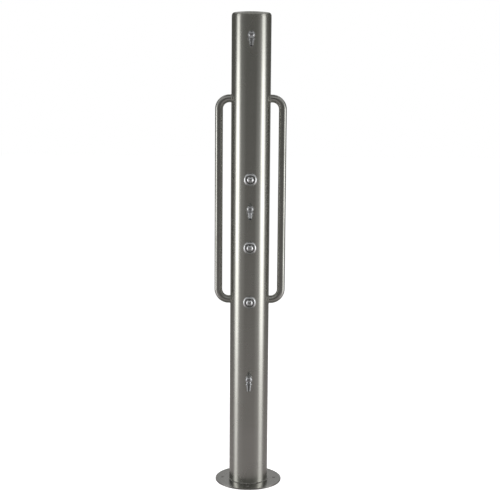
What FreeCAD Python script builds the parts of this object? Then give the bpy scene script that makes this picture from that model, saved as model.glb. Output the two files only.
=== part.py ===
"""Free-standing public shower column in stainless steel.

A round tube stands on a bolted base flange. It carries three self-closing push-button valves and three
swivelling spray heads down its front, a grab rail on each side, and a service hatch at the back. Inside, a
stop valve feeds a riser that serves the three valves, and each valve serves its own head.

Millimetres. The origin is the centre of the flange's underside, +Z is up, and the fittings face -Y.
"""

import FreeCAD
import Part

import math
import os

from FreeCAD import Vector

# ---------------------------------------------------------------- column
tube_diameter = 168.3
tube_wall = 2.0
flange_margin = 61.0            # how far the flange reaches past the tube, all round
flange_thickness = 6.0
flange_edge_chamfer = 0.8
anchor_hole_diameter = 12.0
anchor_count = 4
supply_opening_margin = 22.0    # ledge between the tube's bore and the opening for the supply

# ---------------------------------------------------------------- heights, each from the fitting below it
lower_head_height = 483.0
lower_valve_above_lower_head = 332.0
middle_valve_above_lower_valve = 236.0
middle_head_above_middle_valve = 169.0
upper_valve_above_middle_head = 122.0
upper_head_above_upper_valve = 600.0
top_above_upper_head = 98.0

# ---------------------------------------------------------------- cap
cap_height = 17.0
cap_wall = 3.0
cap_edge_radius = 9.0
cap_crown = 1.5                 # rise of the lid's middle over its rim
cap_seam = 1.0
cap_spigot_length = 28.0
cap_screw_angles = (30.0, 90.0, 150.0)
cap_screw_drop = 14.0

# ---------------------------------------------------------------- grab rails
rail_diameter = 33.7
rail_wall = 2.0
rail_hand_gap = 35.0
rail_length = 867.0             # between the centres of its two arms
rail_bend_radius = 45.0

# ---------------------------------------------------------------- service hatch
hatch_bottom = 150.0
hatch_height = 300.0
hatch_width = 104.0
hatch_corner_radius = 20.0
hatch_gap = 1.0
hatch_lap = 14.0
hatch_gasket_thickness = 1.0
hatch_frame_thickness = 2.0
hatch_screw_inset = 6.5
hatch_screw_end_inset = 2.0     # more, at the hatch's lower and upper ends
hatch_screw_rows = 3

# ---------------------------------------------------------------- push-button valves
button_diameter = 30.0
button_travel = 8.0
button_proud = 11.0             # how far the button stands past its rosette
button_wall = 2.4
button_crown = 9.4              # height of the rounded crown over the upright side
button_edge_radius = 1.4
button_dimple_diameter = 8.0
button_dimple_depth = 0.5
button_skirt = 18.0
button_stem_diameter = 6.4
button_stem_length = 38.0       # past the skirt
button_stem_chamfer = 0.8
button_boss_flare = 2.0         # how much wider the stem gets where it meets the crown
button_boss_height = 3.0
neck_wall = 1.6
neck_recess = 1.6               # the neck's rim sits this far behind the rosette's face
rosette_diameter = 57.0
rosette_face_diameter = 41.0
rosette_height = 11.0
rosette_rim = 2.2
rosette_edge_width = 0.8        # of the small chamfer round its face
rosette_edge_height = 0.3
rosette_bulge = 0.9             # how far its bevel swells past a straight one, along each axis
valve_gasket_thickness = 1.0
valve_body_diameter = 44.0
valve_body_length = 42.0
valve_back_wall = 4.0
valve_back_chamfer = 1.5
valve_chamber_diameter = 28.0
valve_port_length = 40.0        # from the valve's axis
valve_port_diameter = 19.0
valve_nut_across_flats = 46.0
cartridge_end_gap = 2.0
cartridge_nose_length = 4.0
seal_groove_depth = 1.5
seal_groove_width = 2.4
seal_groove_shares = (0.25, 0.6)        # of the cartridge's thick length
cartridge_nose_diameter = 18.0
spring_wire = 1.2
spring_turns = 7
spring_steps_a_turn = 18        # straight lengths that each turn is made of
spring_diameter = 13.0

# ---------------------------------------------------------------- spray heads
thread_diameter = 20.8          # the spigot's pipe thread
spigot_bore = 10.0
spigot_tail = 28.0              # inside the tube's inner face
head_seat_diameter = 28.0
head_seat_height = 6.0
head_seat_edge_radius = 2.5
head_nut_across_flats = 30.0
head_washer_diameter = 36.0
head_gasket_thickness = 1.0
spigot_flange_diameter = 24.0
spigot_flange_thickness = 3.0
spigot_flange_chamfer = 0.8
spigot_tail_chamfer = 1.0
spigot_neck_diameter = 15.0
ball_diameter = 24.0
ball_proud = 28.0               # ball centre past the tube's surface
socket_diameter = 32.0
socket_split = 9.0              # where the swivel nut meets the nozzle, along the nozzle's axis
socket_mouth_angle = 53.0
nozzle_leans = {"upper": 20.0, "middle": 38.0, "lower": 18.0}   # from straight down, away from the column
nozzle_length = 50.0
nozzle_tip_diameter = 15.6
nozzle_shoulder_diameter = 23.0
nozzle_collar_diameter = 31.0
nozzle_collar_start = 18.0
nozzle_collar_width = 5.0
nozzle_collar_chamfer = 1.2
nozzle_tip_chamfer = 0.8
nozzle_bore = 10.0
insert_thickness = 5.0
insert_diameter = 12.4
insert_hole_diameter = 1.3
insert_rings = ((6, 2.6), (10, 4.7))   # holes, radius

# ---------------------------------------------------------------- pipework
riser_offset = 15.0             # behind the column's axis
riser_diameter = 22.0
riser_wall = 1.5
riser_above_branch = 14.0       # past its highest branch
plug_spigot_length = 12.0
plug_head_height = 6.0
plug_head_chamfer = 1.0
pipe_diameter = 12.0
pipe_wall = 1.0
pipe_bend_radius = 28.0
pipe_socket_depth = 6.0
pipe_depth_behind_front = 36.0  # outlet pipes and ports, behind the tube's outer surface
branch_diameter = 18.0
branch_reach = 10.0
nut_across_flats = 22.0
nut_length = 12.0
elbow_diameter = 28.0
elbow_port_diameter = 17.0
elbow_port_length = 32.0
inlet_thread_diameter = 26.44
inlet_thread_length = 20.0
inlet_clear_of_floor = 14.0
stop_valve_bottom = 190.0
stop_valve_length = 80.0
stop_valve_diameter = 38.0
stop_valve_hex = 32.0
stop_valve_hex_length = 18.0
stop_ball_diameter = 26.0
stop_stem_diameter = 8.0
stop_boss_diameter = 15.0
stop_boss_reach = 26.0
lever_length = 50.0
lever_width = 14.0
lever_thickness = 3.0
lever_hub_diameter = 20.0
lever_clear = 8.0
grip_length = 32.0
grip_wall = 1.8
grip_edge_radius = 1.2
lever_nut_across_flats = 13.0
lever_nut_length = 4.0

# ---------------------------------------------------------------- pipe brackets
bracket_heights = (110.0, 600.0, 1130.0)
bracket_width = 14.0
bracket_ring_wall = 6.0
bracket_foot_width = 34.0
bracket_foot_thickness = 3.0
bracket_ear = 12.0
bracket_ear_thickness = 7.0
bracket_split = 0.6
bracket_screw_diameter = 4.8
bracket_screw_end = 3.0         # past the two ears
bracket_head_share = 1.7        # head's radius, of the shank's
bracket_key_share = 1.6         # across flats, of the shank's radius

# ---------------------------------------------------------------- fasteners and clearances
lock_nut_thickness = 6.0
lock_nut_run = 2.0              # behind a lock nut, clear of the fitting it is on
backing_washer_lip = 7.0        # flat face of a backing washer, behind the tube's inner face
screw_shank_diameter = 3.8
screw_head_diameter = 8.0
screw_head_height = 2.2
cap_screw_shank_diameter = 4.8
cap_screw_head_diameter = 9.5
screw_head_rim = 0.5            # height of the head's upright edge
screw_flat_share = 0.45         # of the head's radius
key_recess_depth = 1.3
key_size_share = 0.4            # across flats, of the head's diameter
key_pin_share = 0.07            # radius, of the head's diameter
thread_clearance = 0.1
running_clearance = 0.4
seat_gap = 0.05
hole_clearance = 0.5
drill_margin = 3.0              # how far a drilled hole's cutter reaches past each face of a wall
hatch_screw_clearance = 0.3
hatch_screw_end = 2.0           # how far the screws come through what they hold
cap_screw_end = 4.0

# ---------------------------------------------------------------- worked out from the above
tube_radius = tube_diameter / 2
tube_bore_radius = tube_radius - tube_wall
flange_radius = tube_radius + flange_margin
anchor_circle_radius = (tube_radius + flange_radius) / 2
supply_opening_radius = tube_bore_radius - supply_opening_margin

valve_heights = {"lower": lower_head_height + lower_valve_above_lower_head}
valve_heights["middle"] = valve_heights["lower"] + middle_valve_above_lower_valve
head_heights = {"lower": lower_head_height}
head_heights["middle"] = valve_heights["middle"] + middle_head_above_middle_valve
valve_heights["upper"] = head_heights["middle"] + upper_valve_above_middle_head
head_heights["upper"] = valve_heights["upper"] + upper_head_above_upper_valve
total_height = head_heights["upper"] + top_above_upper_head
cap_base = total_height - cap_height

rail_radius = rail_diameter / 2
rail_axis = tube_radius + rail_hand_gap + rail_radius
rail_low = valve_heights["lower"]
rail_high = rail_low + rail_length

neck_bore_radius = button_diameter / 2 + running_clearance
neck_radius = neck_bore_radius + neck_wall
rosette_face = tube_radius + rosette_height
button_face = rosette_face + button_proud
neck_end = rosette_face - neck_recess
nut_face = tube_bore_radius - backing_washer_lip        # inner face of the backing washers
valve_shoulder = nut_face - lock_nut_thickness - lock_nut_run      # where the thick body starts
valve_back = valve_shoulder - valve_body_length
button_skirt_end = button_face - button_skirt
button_rim = button_diameter / 2 - button_edge_radius   # where the edge's rounding is centred
button_shoulder = button_face - button_crown
dome_radius = ((button_rim ** 2 + button_crown ** 2 - button_edge_radius ** 2)
               / (2 * (button_crown - button_edge_radius)))
dome_centre = button_face - dome_radius
cartridge_face = valve_shoulder - cartridge_end_gap
spring_seat = cartridge_face + cartridge_nose_length
ball_centre = tube_radius + ball_proud
seat_face = tube_radius + head_seat_height
spigot_end = tube_bore_radius - spigot_tail
pipe_plane = tube_radius - pipe_depth_behind_front
branch_face = -riser_offset + riser_diameter / 2 + branch_reach
branch_drop = valve_port_length + nut_length + pipe_bend_radius + 1.0
nozzle_axes = {name: Vector(0, -math.sin(math.radians(lean)), -math.cos(math.radians(lean)))
               for name, lean in nozzle_leans.items()}
OUT = Vector(0, -1, 0)          # away from the column, on the side of the fittings
UP = Vector(0, 0, 1)


# ================================================================ shape helpers
def aimed(shape, origin, direction):
    """The shape, built along +Z from zero, moved so that it starts at origin and runs along direction."""
    moved = shape.copy()
    moved.Placement = FreeCAD.Placement(origin, FreeCAD.Rotation(UP, direction))
    return moved


def cylinder(radius, length, origin=Vector(0, 0, 0), direction=UP):
    """A solid cylinder."""
    return Part.makeCylinder(radius, length, origin, direction)


def ring(outer, inner, length, origin=Vector(0, 0, 0), direction=UP):
    """A plain tube or washer."""
    longer = cylinder(inner, length + 2, origin - direction * 1, direction)
    return cylinder(outer, length, origin, direction).cut(longer)


def box(low, high):
    """A box between two opposite corners."""
    size = high - low
    return Part.makeBox(size.x, size.y, size.z, low)


def hexagon(across_flats, length, origin, direction):
    """A hexagonal bar."""
    corner = across_flats / math.sqrt(3)
    points = [Vector(corner * math.cos(math.radians(a)), corner * math.sin(math.radians(a)), 0)
              for a in range(0, 420, 60)]
    bar = Part.Face(Part.makePolygon(points)).extrude(UP * length)
    return aimed(bar, origin, direction)


def turned(profile):
    """A solid of revolution about +Z. The profile lists (radius, height) points, and a third item makes a
    point the middle of an arc from the point before it to the point after it."""
    points = [Vector(p[0], 0, p[1]) for p in profile]
    edges = []
    index = 0
    while index < len(points):
        end = (index + 1) % len(points)
        if len(profile[end]) == 3:
            last = (index + 2) % len(points)
            edges.append(Part.Arc(points[index], points[end], points[last]).toShape())
            index += 2
        else:
            edges.append(Part.makeLine(points[index], points[end]))
            index += 1
    return Part.Face(Part.Wire(edges)).revolve(Vector(0, 0, 0), UP, 360)


def rounded_corner(centre, radius, start, end):
    """The middle and end points of an arc of a turned profile, between two angles in degrees."""
    middle = math.radians((start + end) / 2)
    stop = math.radians(end)
    return [(centre[0] + radius * math.cos(middle), centre[1] + radius * math.sin(middle), "arc"),
            (centre[0] + radius * math.cos(stop), centre[1] + radius * math.sin(stop))]


def swept(points, bend_radius, radius):
    """A round bar along straight runs, joined by tangent arcs."""
    edges = []
    start = points[0]
    for before, corner, after in zip(points, points[1:], points[2:]):
        into = (corner - before).normalize()
        out = (after - corner).normalize()
        turn = into.getAngle(out)
        reach = bend_radius * math.tan(turn / 2)
        first = corner - into * reach
        last = corner + out * reach
        inward = (out - into).normalize()
        middle = corner + inward * (bend_radius / math.cos(turn / 2) - bend_radius)
        edges.append(Part.makeLine(start, first))
        edges.append(Part.Arc(first, middle, last).toShape())
        start = last
    edges.append(Part.makeLine(start, points[-1]))
    profile = Part.Wire(Part.makeCircle(radius, points[0], (points[1] - points[0]).normalize()))
    return Part.Wire(edges).makePipeShell([profile], True, False)


def bent_tube(points, bend_radius, radius, wall):
    """A hollow tube along straight runs and tangent arcs, open at both ends."""
    return swept(points, bend_radius, radius).cut(swept(points, bend_radius, radius - wall))


def shell(outer, inner, low, high):
    """A tube about the column's axis between two heights."""
    return ring(outer, inner, high - low, UP * low)


def hatch_block(grow):
    """The hatch's outline, grown by an offset, as a block that reaches from the axis out through the back."""
    half = hatch_width / 2 + grow
    low = hatch_bottom - grow
    high = hatch_bottom + hatch_height + grow
    block = box(Vector(-half, 0, low), Vector(half, tube_radius + 20, high))
    corners = [e for e in block.Edges if abs(e.tangentAt(0).y) > 0.9]
    return block.makeFillet(hatch_corner_radius + grow, corners)


def on_front(radius, z):
    """The point at a distance from the column's axis, on the side of the fittings."""
    return Vector(0, -radius, z)


def tamper_screw(shank_diameter, head_diameter, shank_length):
    """A button-head screw with a pinned hexagonal recess. It starts under its head, with its shank down."""
    head_radius = head_diameter / 2
    flat_radius = head_radius * screw_flat_share
    head = turned([(0, 0), (head_radius, 0), (head_radius, screw_head_rim),
                   (head_radius * 0.8, screw_head_height * 0.8, "arc"), (flat_radius, screw_head_height),
                   (0, screw_head_height)])
    recess_floor = UP * (screw_head_height - key_recess_depth)
    recess = hexagon(head_diameter * key_size_share, key_recess_depth + 1, recess_floor, UP)
    pin = cylinder(head_diameter * key_pin_share, screw_head_height)
    shank = cylinder(shank_diameter / 2, shank_length + 0.01, UP * -shank_length)
    return head.cut(recess).fuse([pin, shank]).removeSplitter()


def around(angle):
    """The outward direction at an angle about the column's axis, from +X."""
    return Vector(math.cos(math.radians(angle)), math.sin(math.radians(angle)), 0)


# ================================================================ structure
def base_flange():
    """A round plate with anchor holes and an opening for the supply."""
    plate = turned([(supply_opening_radius, 0), (flange_radius, 0),
                    (flange_radius, flange_thickness - flange_edge_chamfer),
                    (flange_radius - flange_edge_chamfer, flange_thickness),
                    (supply_opening_radius, flange_thickness)])
    holes = [cylinder(anchor_hole_diameter / 2, flange_thickness + 2,
                      around(360.0 * k / anchor_count) * anchor_circle_radius - UP)
             for k in range(anchor_count)]
    return plate.cut(holes)


def cap_screw_height():
    """Height of the screws that hold the cap."""
    return cap_base - cap_screw_drop


def column_tube():
    """The round casing, with its holes for the valves, heads, hatch and cap screws."""
    tube = shell(tube_radius, tube_bore_radius, flange_thickness, cap_base - cap_seam)
    cuts = [hatch_block(0)]
    drill_start = tube_bore_radius - drill_margin
    drill_length = tube_wall + 2 * drill_margin
    for z in valve_heights.values():
        cuts.append(cylinder(neck_radius + hole_clearance, drill_length, on_front(drill_start, z), OUT))
    spigot_hole = thread_diameter / 2 + hole_clearance
    for z in head_heights.values():
        cuts.append(cylinder(spigot_hole, drill_length, on_front(drill_start, z), OUT))
    screw_hole = cap_screw_shank_diameter / 2 + thread_clearance
    for angle in cap_screw_angles:
        start = around(angle) * drill_start + UP * cap_screw_height()
        cuts.append(cylinder(screw_hole, drill_length, start, around(angle)))
    return tube.cut(cuts)


def top_cap():
    """A turned lid whose skirt is flush with the tube, and whose spigot fits its bore."""
    top = total_height
    rim = tube_radius - cap_edge_radius
    rim_top = top - cap_crown
    spigot_radius = tube_bore_radius - thread_clearance
    inside = spigot_radius - cap_wall
    under = rim_top - cap_wall
    lid_radius = (rim ** 2 + cap_crown ** 2) / (2 * cap_crown)
    dome_middle = top - lid_radius + math.sqrt(lid_radius ** 2 - (rim / 2) ** 2)
    lid = turned([(0, under), (inside - cap_edge_radius, under), (inside, under - cap_edge_radius),
                  (inside, cap_base - cap_spigot_length), (spigot_radius, cap_base - cap_spigot_length),
                  (spigot_radius, cap_base), (tube_radius, cap_base),
                  (tube_radius, rim_top - cap_edge_radius)]
                 + rounded_corner((rim, rim_top - cap_edge_radius), cap_edge_radius, 0, 90)
                 + [(rim / 2, dome_middle, "arc"), (0, top)])
    holes = [cylinder(cap_screw_shank_diameter / 2 + seat_gap, cap_wall + 2 * drill_margin,
                      around(a) * (inside - drill_margin) + UP * cap_screw_height(), around(a))
             for a in cap_screw_angles]
    return lid.cut(holes)


def cap_screws():
    """The screws that hold the cap, all on the back half."""
    length = tube_wall + cap_wall + cap_screw_end
    screw = tamper_screw(cap_screw_shank_diameter, cap_screw_head_diameter, length)
    seat = tube_radius + seat_gap
    return Part.makeCompound([aimed(screw, around(a) * seat + UP * cap_screw_height(), around(a))
                              for a in cap_screw_angles])


def grab_rail(side):
    """A bent tube whose two arms are coped to the column, side being 1 or -1 along X."""
    inside = tube_radius * 0.8
    points = [Vector(side * inside, 0, rail_low), Vector(side * rail_axis, 0, rail_low),
              Vector(side * rail_axis, 0, rail_high), Vector(side * inside, 0, rail_high)]
    rail = bent_tube(points, rail_bend_radius, rail_radius, rail_wall)
    return rail.cut(cylinder(tube_radius + seat_gap, total_height))


# ================================================================ service hatch
def hatch_screw_places():
    """The hatch screws' outward directions and heights."""
    half = hatch_width / 2 - hatch_gap - hatch_screw_inset
    angle = math.degrees(math.acos(half / tube_radius))
    from_end = hatch_gap + hatch_screw_inset + hatch_screw_end_inset
    low = hatch_bottom + from_end
    high = hatch_bottom + hatch_height - from_end
    heights = [low + (high - low) * k / (hatch_screw_rows - 1) for k in range(hatch_screw_rows)]
    return [(around(a), z) for a in (angle, 180 - angle) for z in heights]


def screw_bores(radius):
    """Bores for the hatch screws, through the hatch, its gasket and its frame."""
    depth = tube_wall + hatch_gasket_thickness + hatch_frame_thickness + 6
    return [cylinder(radius, depth + 4, d * (tube_radius - depth) + UP * z, d)
            for d, z in hatch_screw_places()]


def access_hatch():
    """The cover, cut from the same tube."""
    plate = shell(tube_radius, tube_bore_radius, hatch_bottom - 1, hatch_bottom + hatch_height + 1)
    bores = screw_bores(screw_shank_diameter / 2 + hatch_screw_clearance)
    return plate.common(hatch_block(-hatch_gap)).cut(bores)


def hatch_surround(outer, inner):
    """A curved frame that laps the hatch opening all round."""
    band = shell(outer, inner, hatch_bottom - 2 * hatch_lap, hatch_bottom + hatch_height + 2 * hatch_lap)
    return band.common(hatch_block(hatch_lap)).cut(hatch_block(-hatch_lap))


def hatch_gasket():
    """The rubber seal between the frame and both the tube and the hatch."""
    outer = tube_bore_radius - seat_gap
    band = hatch_surround(outer, outer - hatch_gasket_thickness)
    return band.cut(screw_bores(screw_shank_diameter / 2 + hatch_screw_clearance))


def hatch_frame():
    """The backing frame that the hatch screws are tapped into."""
    outer = tube_bore_radius - hatch_gasket_thickness - 2 * seat_gap
    band = hatch_surround(outer, outer - hatch_frame_thickness)
    return band.cut(screw_bores(screw_shank_diameter / 2 + thread_clearance))


def hatch_screws():
    """Six pinned button-head screws."""
    length = tube_wall + hatch_gasket_thickness + hatch_frame_thickness + hatch_screw_end
    screw = tamper_screw(screw_shank_diameter, screw_head_diameter, length)
    seat = tube_radius + seat_gap
    return Part.makeCompound([aimed(screw, d * seat + UP * z, d) for d, z in hatch_screw_places()])


# ================================================================ push-button valves
def saddle_sheet(outer, inner, thickness, z):
    """A round sheet that lies on the tube's curved front, with a hole."""
    disc = ring(outer, inner, tube_radius + 2 * thickness, on_front(0, z), OUT)
    face = tube_radius + seat_gap
    return disc.common(shell(face + thickness, face, z - 2 * outer, z + 2 * outer))


def backing_washer(outer, inner, z):
    """A washer inside the tube: flat towards the nut, and curved to the tube's bore."""
    washer = ring(outer, inner, backing_washer_lip + 2, on_front(nut_face, z), OUT)
    return washer.common(cylinder(tube_bore_radius - thread_clearance, 4 * outer, UP * (z - 2 * outer)))


def lock_nut(across_flats, bore, z):
    """A thin hexagonal nut that pulls against a backing washer."""
    start = on_front(nut_face - seat_gap - lock_nut_thickness, z)
    blank = hexagon(across_flats, lock_nut_thickness, start, OUT)
    return blank.cut(cylinder(bore, lock_nut_thickness + 2, start - OUT, OUT))


def valve_body(z):
    """The brass body: a threaded neck through the tube's wall, a chamber, and a port above and below."""
    chamber = valve_chamber_diameter / 2 + thread_clearance
    radius = valve_body_diameter / 2
    edge = valve_back_chamfer
    outside = turned([(0, valve_back), (radius - edge, valve_back), (radius, valve_back + edge),
                      (radius, valve_shoulder), (neck_radius, valve_shoulder), (neck_radius, neck_end),
                      (0, neck_end)])
    inside = turned([(0, valve_back + valve_back_wall), (chamber, valve_back + valve_back_wall),
                     (chamber, valve_shoulder), (neck_bore_radius, valve_shoulder),
                     (neck_bore_radius, neck_end + 1), (0, neck_end + 1)])
    body = aimed(outside, Vector(0, 0, z), OUT)
    ends = []
    bores = [aimed(inside, Vector(0, 0, z), OUT)]
    for way in (UP, UP * -1):
        middle = on_front(pipe_plane, z)
        ends.append(cylinder(valve_port_diameter / 2, valve_port_length, middle, way))
        bores.append(cylinder(pipe_diameter / 2 - pipe_wall, valve_port_length + 1, middle, way))
        bores.append(cylinder(pipe_diameter / 2 + thread_clearance, pipe_socket_depth + 1,
                              middle + way * (valve_port_length - pipe_socket_depth), way))
    return body.fuse(ends).cut(bores).removeSplitter()


def valve_cartridge(z):
    """The self-closing cartridge, with grooves for its seals and a guide for the button's stem."""
    radius = valve_chamber_diameter / 2
    groove = radius - seal_groove_depth
    half = seal_groove_width / 2
    start = valve_back + valve_back_wall + seat_gap
    grooved = [(radius, start)]
    for share in seal_groove_shares:
        middle = start + (cartridge_face - start) * share
        grooved += [(radius, middle - half), (groove, middle - half),
                    (groove, middle + half), (radius, middle + half)]
    solid = turned([(0, start)] + grooved
                   + [(radius, cartridge_face), (cartridge_nose_diameter / 2, cartridge_face),
                      (cartridge_nose_diameter / 2, spring_seat), (0, spring_seat)])
    guide_end = button_skirt_end - button_stem_length - button_travel - 2
    guide = cylinder(button_stem_diameter / 2 + running_clearance, spring_seat - guide_end + 1,
                     on_front(guide_end, z), OUT)
    way = cylinder(pipe_diameter / 2 - pipe_wall, 2 * radius + 2, on_front(pipe_plane, z - radius - 1), UP)
    return aimed(solid, Vector(0, 0, z), OUT).cut([guide, way])


def valve_rosette(z):
    """The bevelled escutcheon, whose back is curved to the tube."""
    radius = rosette_diameter / 2
    face_radius = rosette_face_diameter / 2
    hole = neck_radius + thread_clearance
    rim = tube_radius + rosette_rim
    start = tube_radius * 0.6
    bulge = ((radius + face_radius) / 2 + rosette_bulge, (rim + rosette_face) / 2 + rosette_bulge, "arc")
    solid = turned([(hole, start), (radius, start), (radius, rim), bulge,
                    (face_radius, rosette_face - rosette_edge_height),
                    (face_radius - rosette_edge_width, rosette_face), (hole, rosette_face)])
    back_radius = tube_radius + valve_gasket_thickness + 2 * seat_gap
    clear_of_tube = cylinder(back_radius, 4 * radius, UP * (z - 2 * radius))
    return aimed(solid, Vector(0, 0, z), OUT).cut(clear_of_tube)


def push_button(z):
    """The domed button with its skirt, boss and stem. The edge's rounding runs into the dome."""
    radius = button_diameter / 2
    inside = radius - button_wall
    stem = button_stem_diameter / 2
    tip = button_skirt_end - button_stem_length
    dimple = button_dimple_diameter / 2
    meets = math.degrees(math.atan2(button_shoulder - dome_centre, button_rim))

    def dome(r):
        """Height of the dome at a distance from the button's axis."""
        return dome_centre + math.sqrt(dome_radius ** 2 - r ** 2)

    halfway = (button_rim + dimple) / 2
    floor = dome(dimple) - button_dimple_depth
    solid = turned([(0, tip), (stem - button_stem_chamfer, tip), (stem, tip + button_stem_chamfer),
                    (stem, button_shoulder - button_boss_height), (stem + button_boss_flare, button_shoulder),
                    (inside, button_shoulder), (inside, button_skirt_end),
                    (radius, button_skirt_end), (radius, button_shoulder)]
                   + rounded_corner((button_rim, button_shoulder), button_edge_radius, 0, meets)
                   + [(halfway, dome(halfway), "arc"), (dimple, dome(dimple)),
                      (dimple - button_dimple_depth, floor), (0, floor)])
    return aimed(solid, Vector(0, 0, z), OUT)


def button_spring(z):
    """The return spring between the cartridge's nose and the button."""
    low = spring_seat + seat_gap + spring_wire / 2
    high = button_shoulder - seat_gap - spring_wire / 2
    steps = spring_turns * spring_steps_a_turn
    rise = (high - low) / steps
    points = [around(360.0 * k / spring_steps_a_turn) * (spring_diameter / 2) + UP * (rise * k)
              for k in range(steps + 1)]
    profile = Part.Wire(Part.makeCircle(spring_wire / 2, points[0], points[1] - points[0]))
    mitred = 1
    coil = Part.makePolygon(points).makePipeShell([profile], True, False, mitred)
    return aimed(coil, on_front(low, z), OUT)


# ================================================================ spray heads
def head_seat(z):
    """The round chrome seat between the curved tube and the spigot's flange."""
    radius = head_seat_diameter / 2
    hole = thread_diameter / 2 + thread_clearance
    start = tube_radius * 0.8
    edge = head_seat_edge_radius
    solid = turned([(hole, start), (radius, start), (radius, seat_face - edge)]
                   + rounded_corner((radius - edge, seat_face - edge), edge, 0, 90) + [(hole, seat_face)])
    back_radius = tube_radius + head_gasket_thickness + 2 * seat_gap
    clear_of_tube = cylinder(back_radius, 4 * radius, UP * (z - 2 * radius))
    return aimed(solid, Vector(0, 0, z), OUT).cut(clear_of_tube)


def head_spigot(name):
    """The threaded spigot that ends in the ball that the head swivels on."""
    z = head_heights[name]
    ball = ball_diameter / 2
    neck = spigot_neck_diameter / 2
    flange = spigot_flange_diameter / 2
    front = seat_face + seat_gap + spigot_flange_thickness
    thread = thread_diameter / 2
    edge = spigot_flange_chamfer
    solid = turned([(0, spigot_end), (thread - spigot_tail_chamfer, spigot_end),
                    (thread, spigot_end + spigot_tail_chamfer), (thread, seat_face + seat_gap),
                    (flange, seat_face + seat_gap), (flange, front - edge), (flange - edge, front),
                    (neck, front), (neck, ball_centre - 1), (0, ball_centre - 1)])
    body = aimed(solid, Vector(0, 0, z), OUT).fuse(Part.makeSphere(ball, on_front(ball_centre, z)))
    along = cylinder(spigot_bore / 2, ball_centre - spigot_end + 1, on_front(spigot_end - 1, z), OUT)
    down = cylinder(spigot_bore / 2 - 0.5, ball + 1, on_front(ball_centre, z), nozzle_axes[name])
    return body.cut([along, down]).removeSplitter()


def socket_blank():
    """The swivelling part's outside, turned about the nozzle's axis, with the ball's centre at the origin."""
    radius = socket_diameter / 2
    waist = nozzle_shoulder_diameter / 2
    waist_height = math.sqrt(radius ** 2 - waist ** 2)
    middle = math.radians((math.degrees(math.asin(waist_height / radius)) - 90) / 2)
    collar = nozzle_collar_diameter / 2
    collar_end = nozzle_collar_start + nozzle_collar_width
    edge = nozzle_collar_chamfer
    tip = nozzle_tip_diameter / 2
    return turned([(0, -radius), (radius * math.cos(middle), radius * math.sin(middle), "arc"),
                   (waist, waist_height), (waist, nozzle_collar_start - 1.5),
                   (collar - edge, nozzle_collar_start), (collar, nozzle_collar_start + edge),
                   (collar, collar_end - edge), (collar - edge, collar_end), (waist, collar_end + 0.8),
                   (tip, nozzle_length - nozzle_tip_chamfer), (tip - nozzle_tip_chamfer, nozzle_length),
                   (0, nozzle_length)])


def socket_cavity():
    """What is taken out of the swivelling part: the ball's seat, the waterway and the insert's recess."""
    ball = Part.makeSphere(ball_diameter / 2 + running_clearance)
    waterway = cylinder(nozzle_bore / 2, nozzle_length)
    recess = cylinder(insert_diameter / 2 + thread_clearance, insert_thickness + 1,
                      UP * (nozzle_length - insert_thickness))
    return [ball, waterway, recess]


def swivel_nut(name):
    """The upper half of the socket, which holds the ball and is open towards the column."""
    centre = on_front(ball_centre, head_heights[name])
    half = socket_blank().common(cylinder(socket_diameter, socket_diameter + socket_split - seat_gap,
                                          UP * -socket_diameter))
    nut = aimed(half.cut(socket_cavity()), centre, nozzle_axes[name])
    length = socket_diameter
    mouth = Part.makeCone(0, length * math.tan(math.radians(socket_mouth_angle)), length, centre, OUT * -1)
    return nut.cut(mouth)


def spray_nozzle(name):
    """The lower half of the socket with its collar and its tapered barrel."""
    half = socket_blank().common(cylinder(socket_diameter, nozzle_length, UP * socket_split))
    return aimed(half.cut(socket_cavity()), on_front(ball_centre, head_heights[name]), nozzle_axes[name])


def spray_insert(name):
    """The plastic plate that the jets come out of."""
    plate = cylinder(insert_diameter / 2, insert_thickness)
    holes = [cylinder(insert_hole_diameter / 2, insert_thickness + 2,
                      around(360.0 * k / count) * radius - UP)
             for count, radius in insert_rings for k in range(count)]
    reach = nozzle_length - insert_thickness + seat_gap
    start = on_front(ball_centre, head_heights[name]) + nozzle_axes[name] * reach
    return aimed(plate.cut(holes), start, nozzle_axes[name])


def inner_elbow(z, way):
    """The fitting that turns from the spigot's tail to a pipe that arrives along way."""
    end = pipe_plane - elbow_port_diameter / 2 - 1
    front = nut_face - lock_nut_thickness - lock_nut_run
    middle = on_front(pipe_plane, z)
    solid = cylinder(elbow_diameter / 2, front - end, on_front(end, z), OUT)
    solid = solid.fuse(cylinder(elbow_port_diameter / 2, elbow_port_length, middle, way))
    bores = [cylinder(thread_diameter / 2 + thread_clearance, front - spigot_end + 1,
                      on_front(spigot_end - seat_gap, z), OUT),
             cylinder(spigot_bore / 2, spigot_end - pipe_plane + 1, middle, OUT),
             cylinder(spigot_bore / 2, elbow_port_length + 1, middle, way),
             cylinder(pipe_diameter / 2 + thread_clearance, pipe_socket_depth + 1,
                      middle + way * (elbow_port_length - pipe_socket_depth), way)]
    return solid.cut(bores).removeSplitter()


# ================================================================ pipework
def pipe_ways():
    """For each valve: whether its head is above it (1) or below it (-1)."""
    return {"upper": 1, "middle": 1, "lower": -1}


def branch_heights():
    """Where the riser's branches leave it, on the side of each valve away from its head."""
    return {name: valve_heights[name] - way * branch_drop for name, way in pipe_ways().items()}


def outlet_pipe(name):
    """The straight pipe from a valve's port to the elbow behind its head."""
    way = pipe_ways()[name]
    start = valve_heights[name] + way * (valve_port_length - pipe_socket_depth + seat_gap)
    end = head_heights[name] - way * (elbow_port_length - pipe_socket_depth + seat_gap)
    low, high = sorted((start, end))
    return ring(pipe_diameter / 2, pipe_diameter / 2 - pipe_wall, high - low, on_front(pipe_plane, low), UP)


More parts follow.
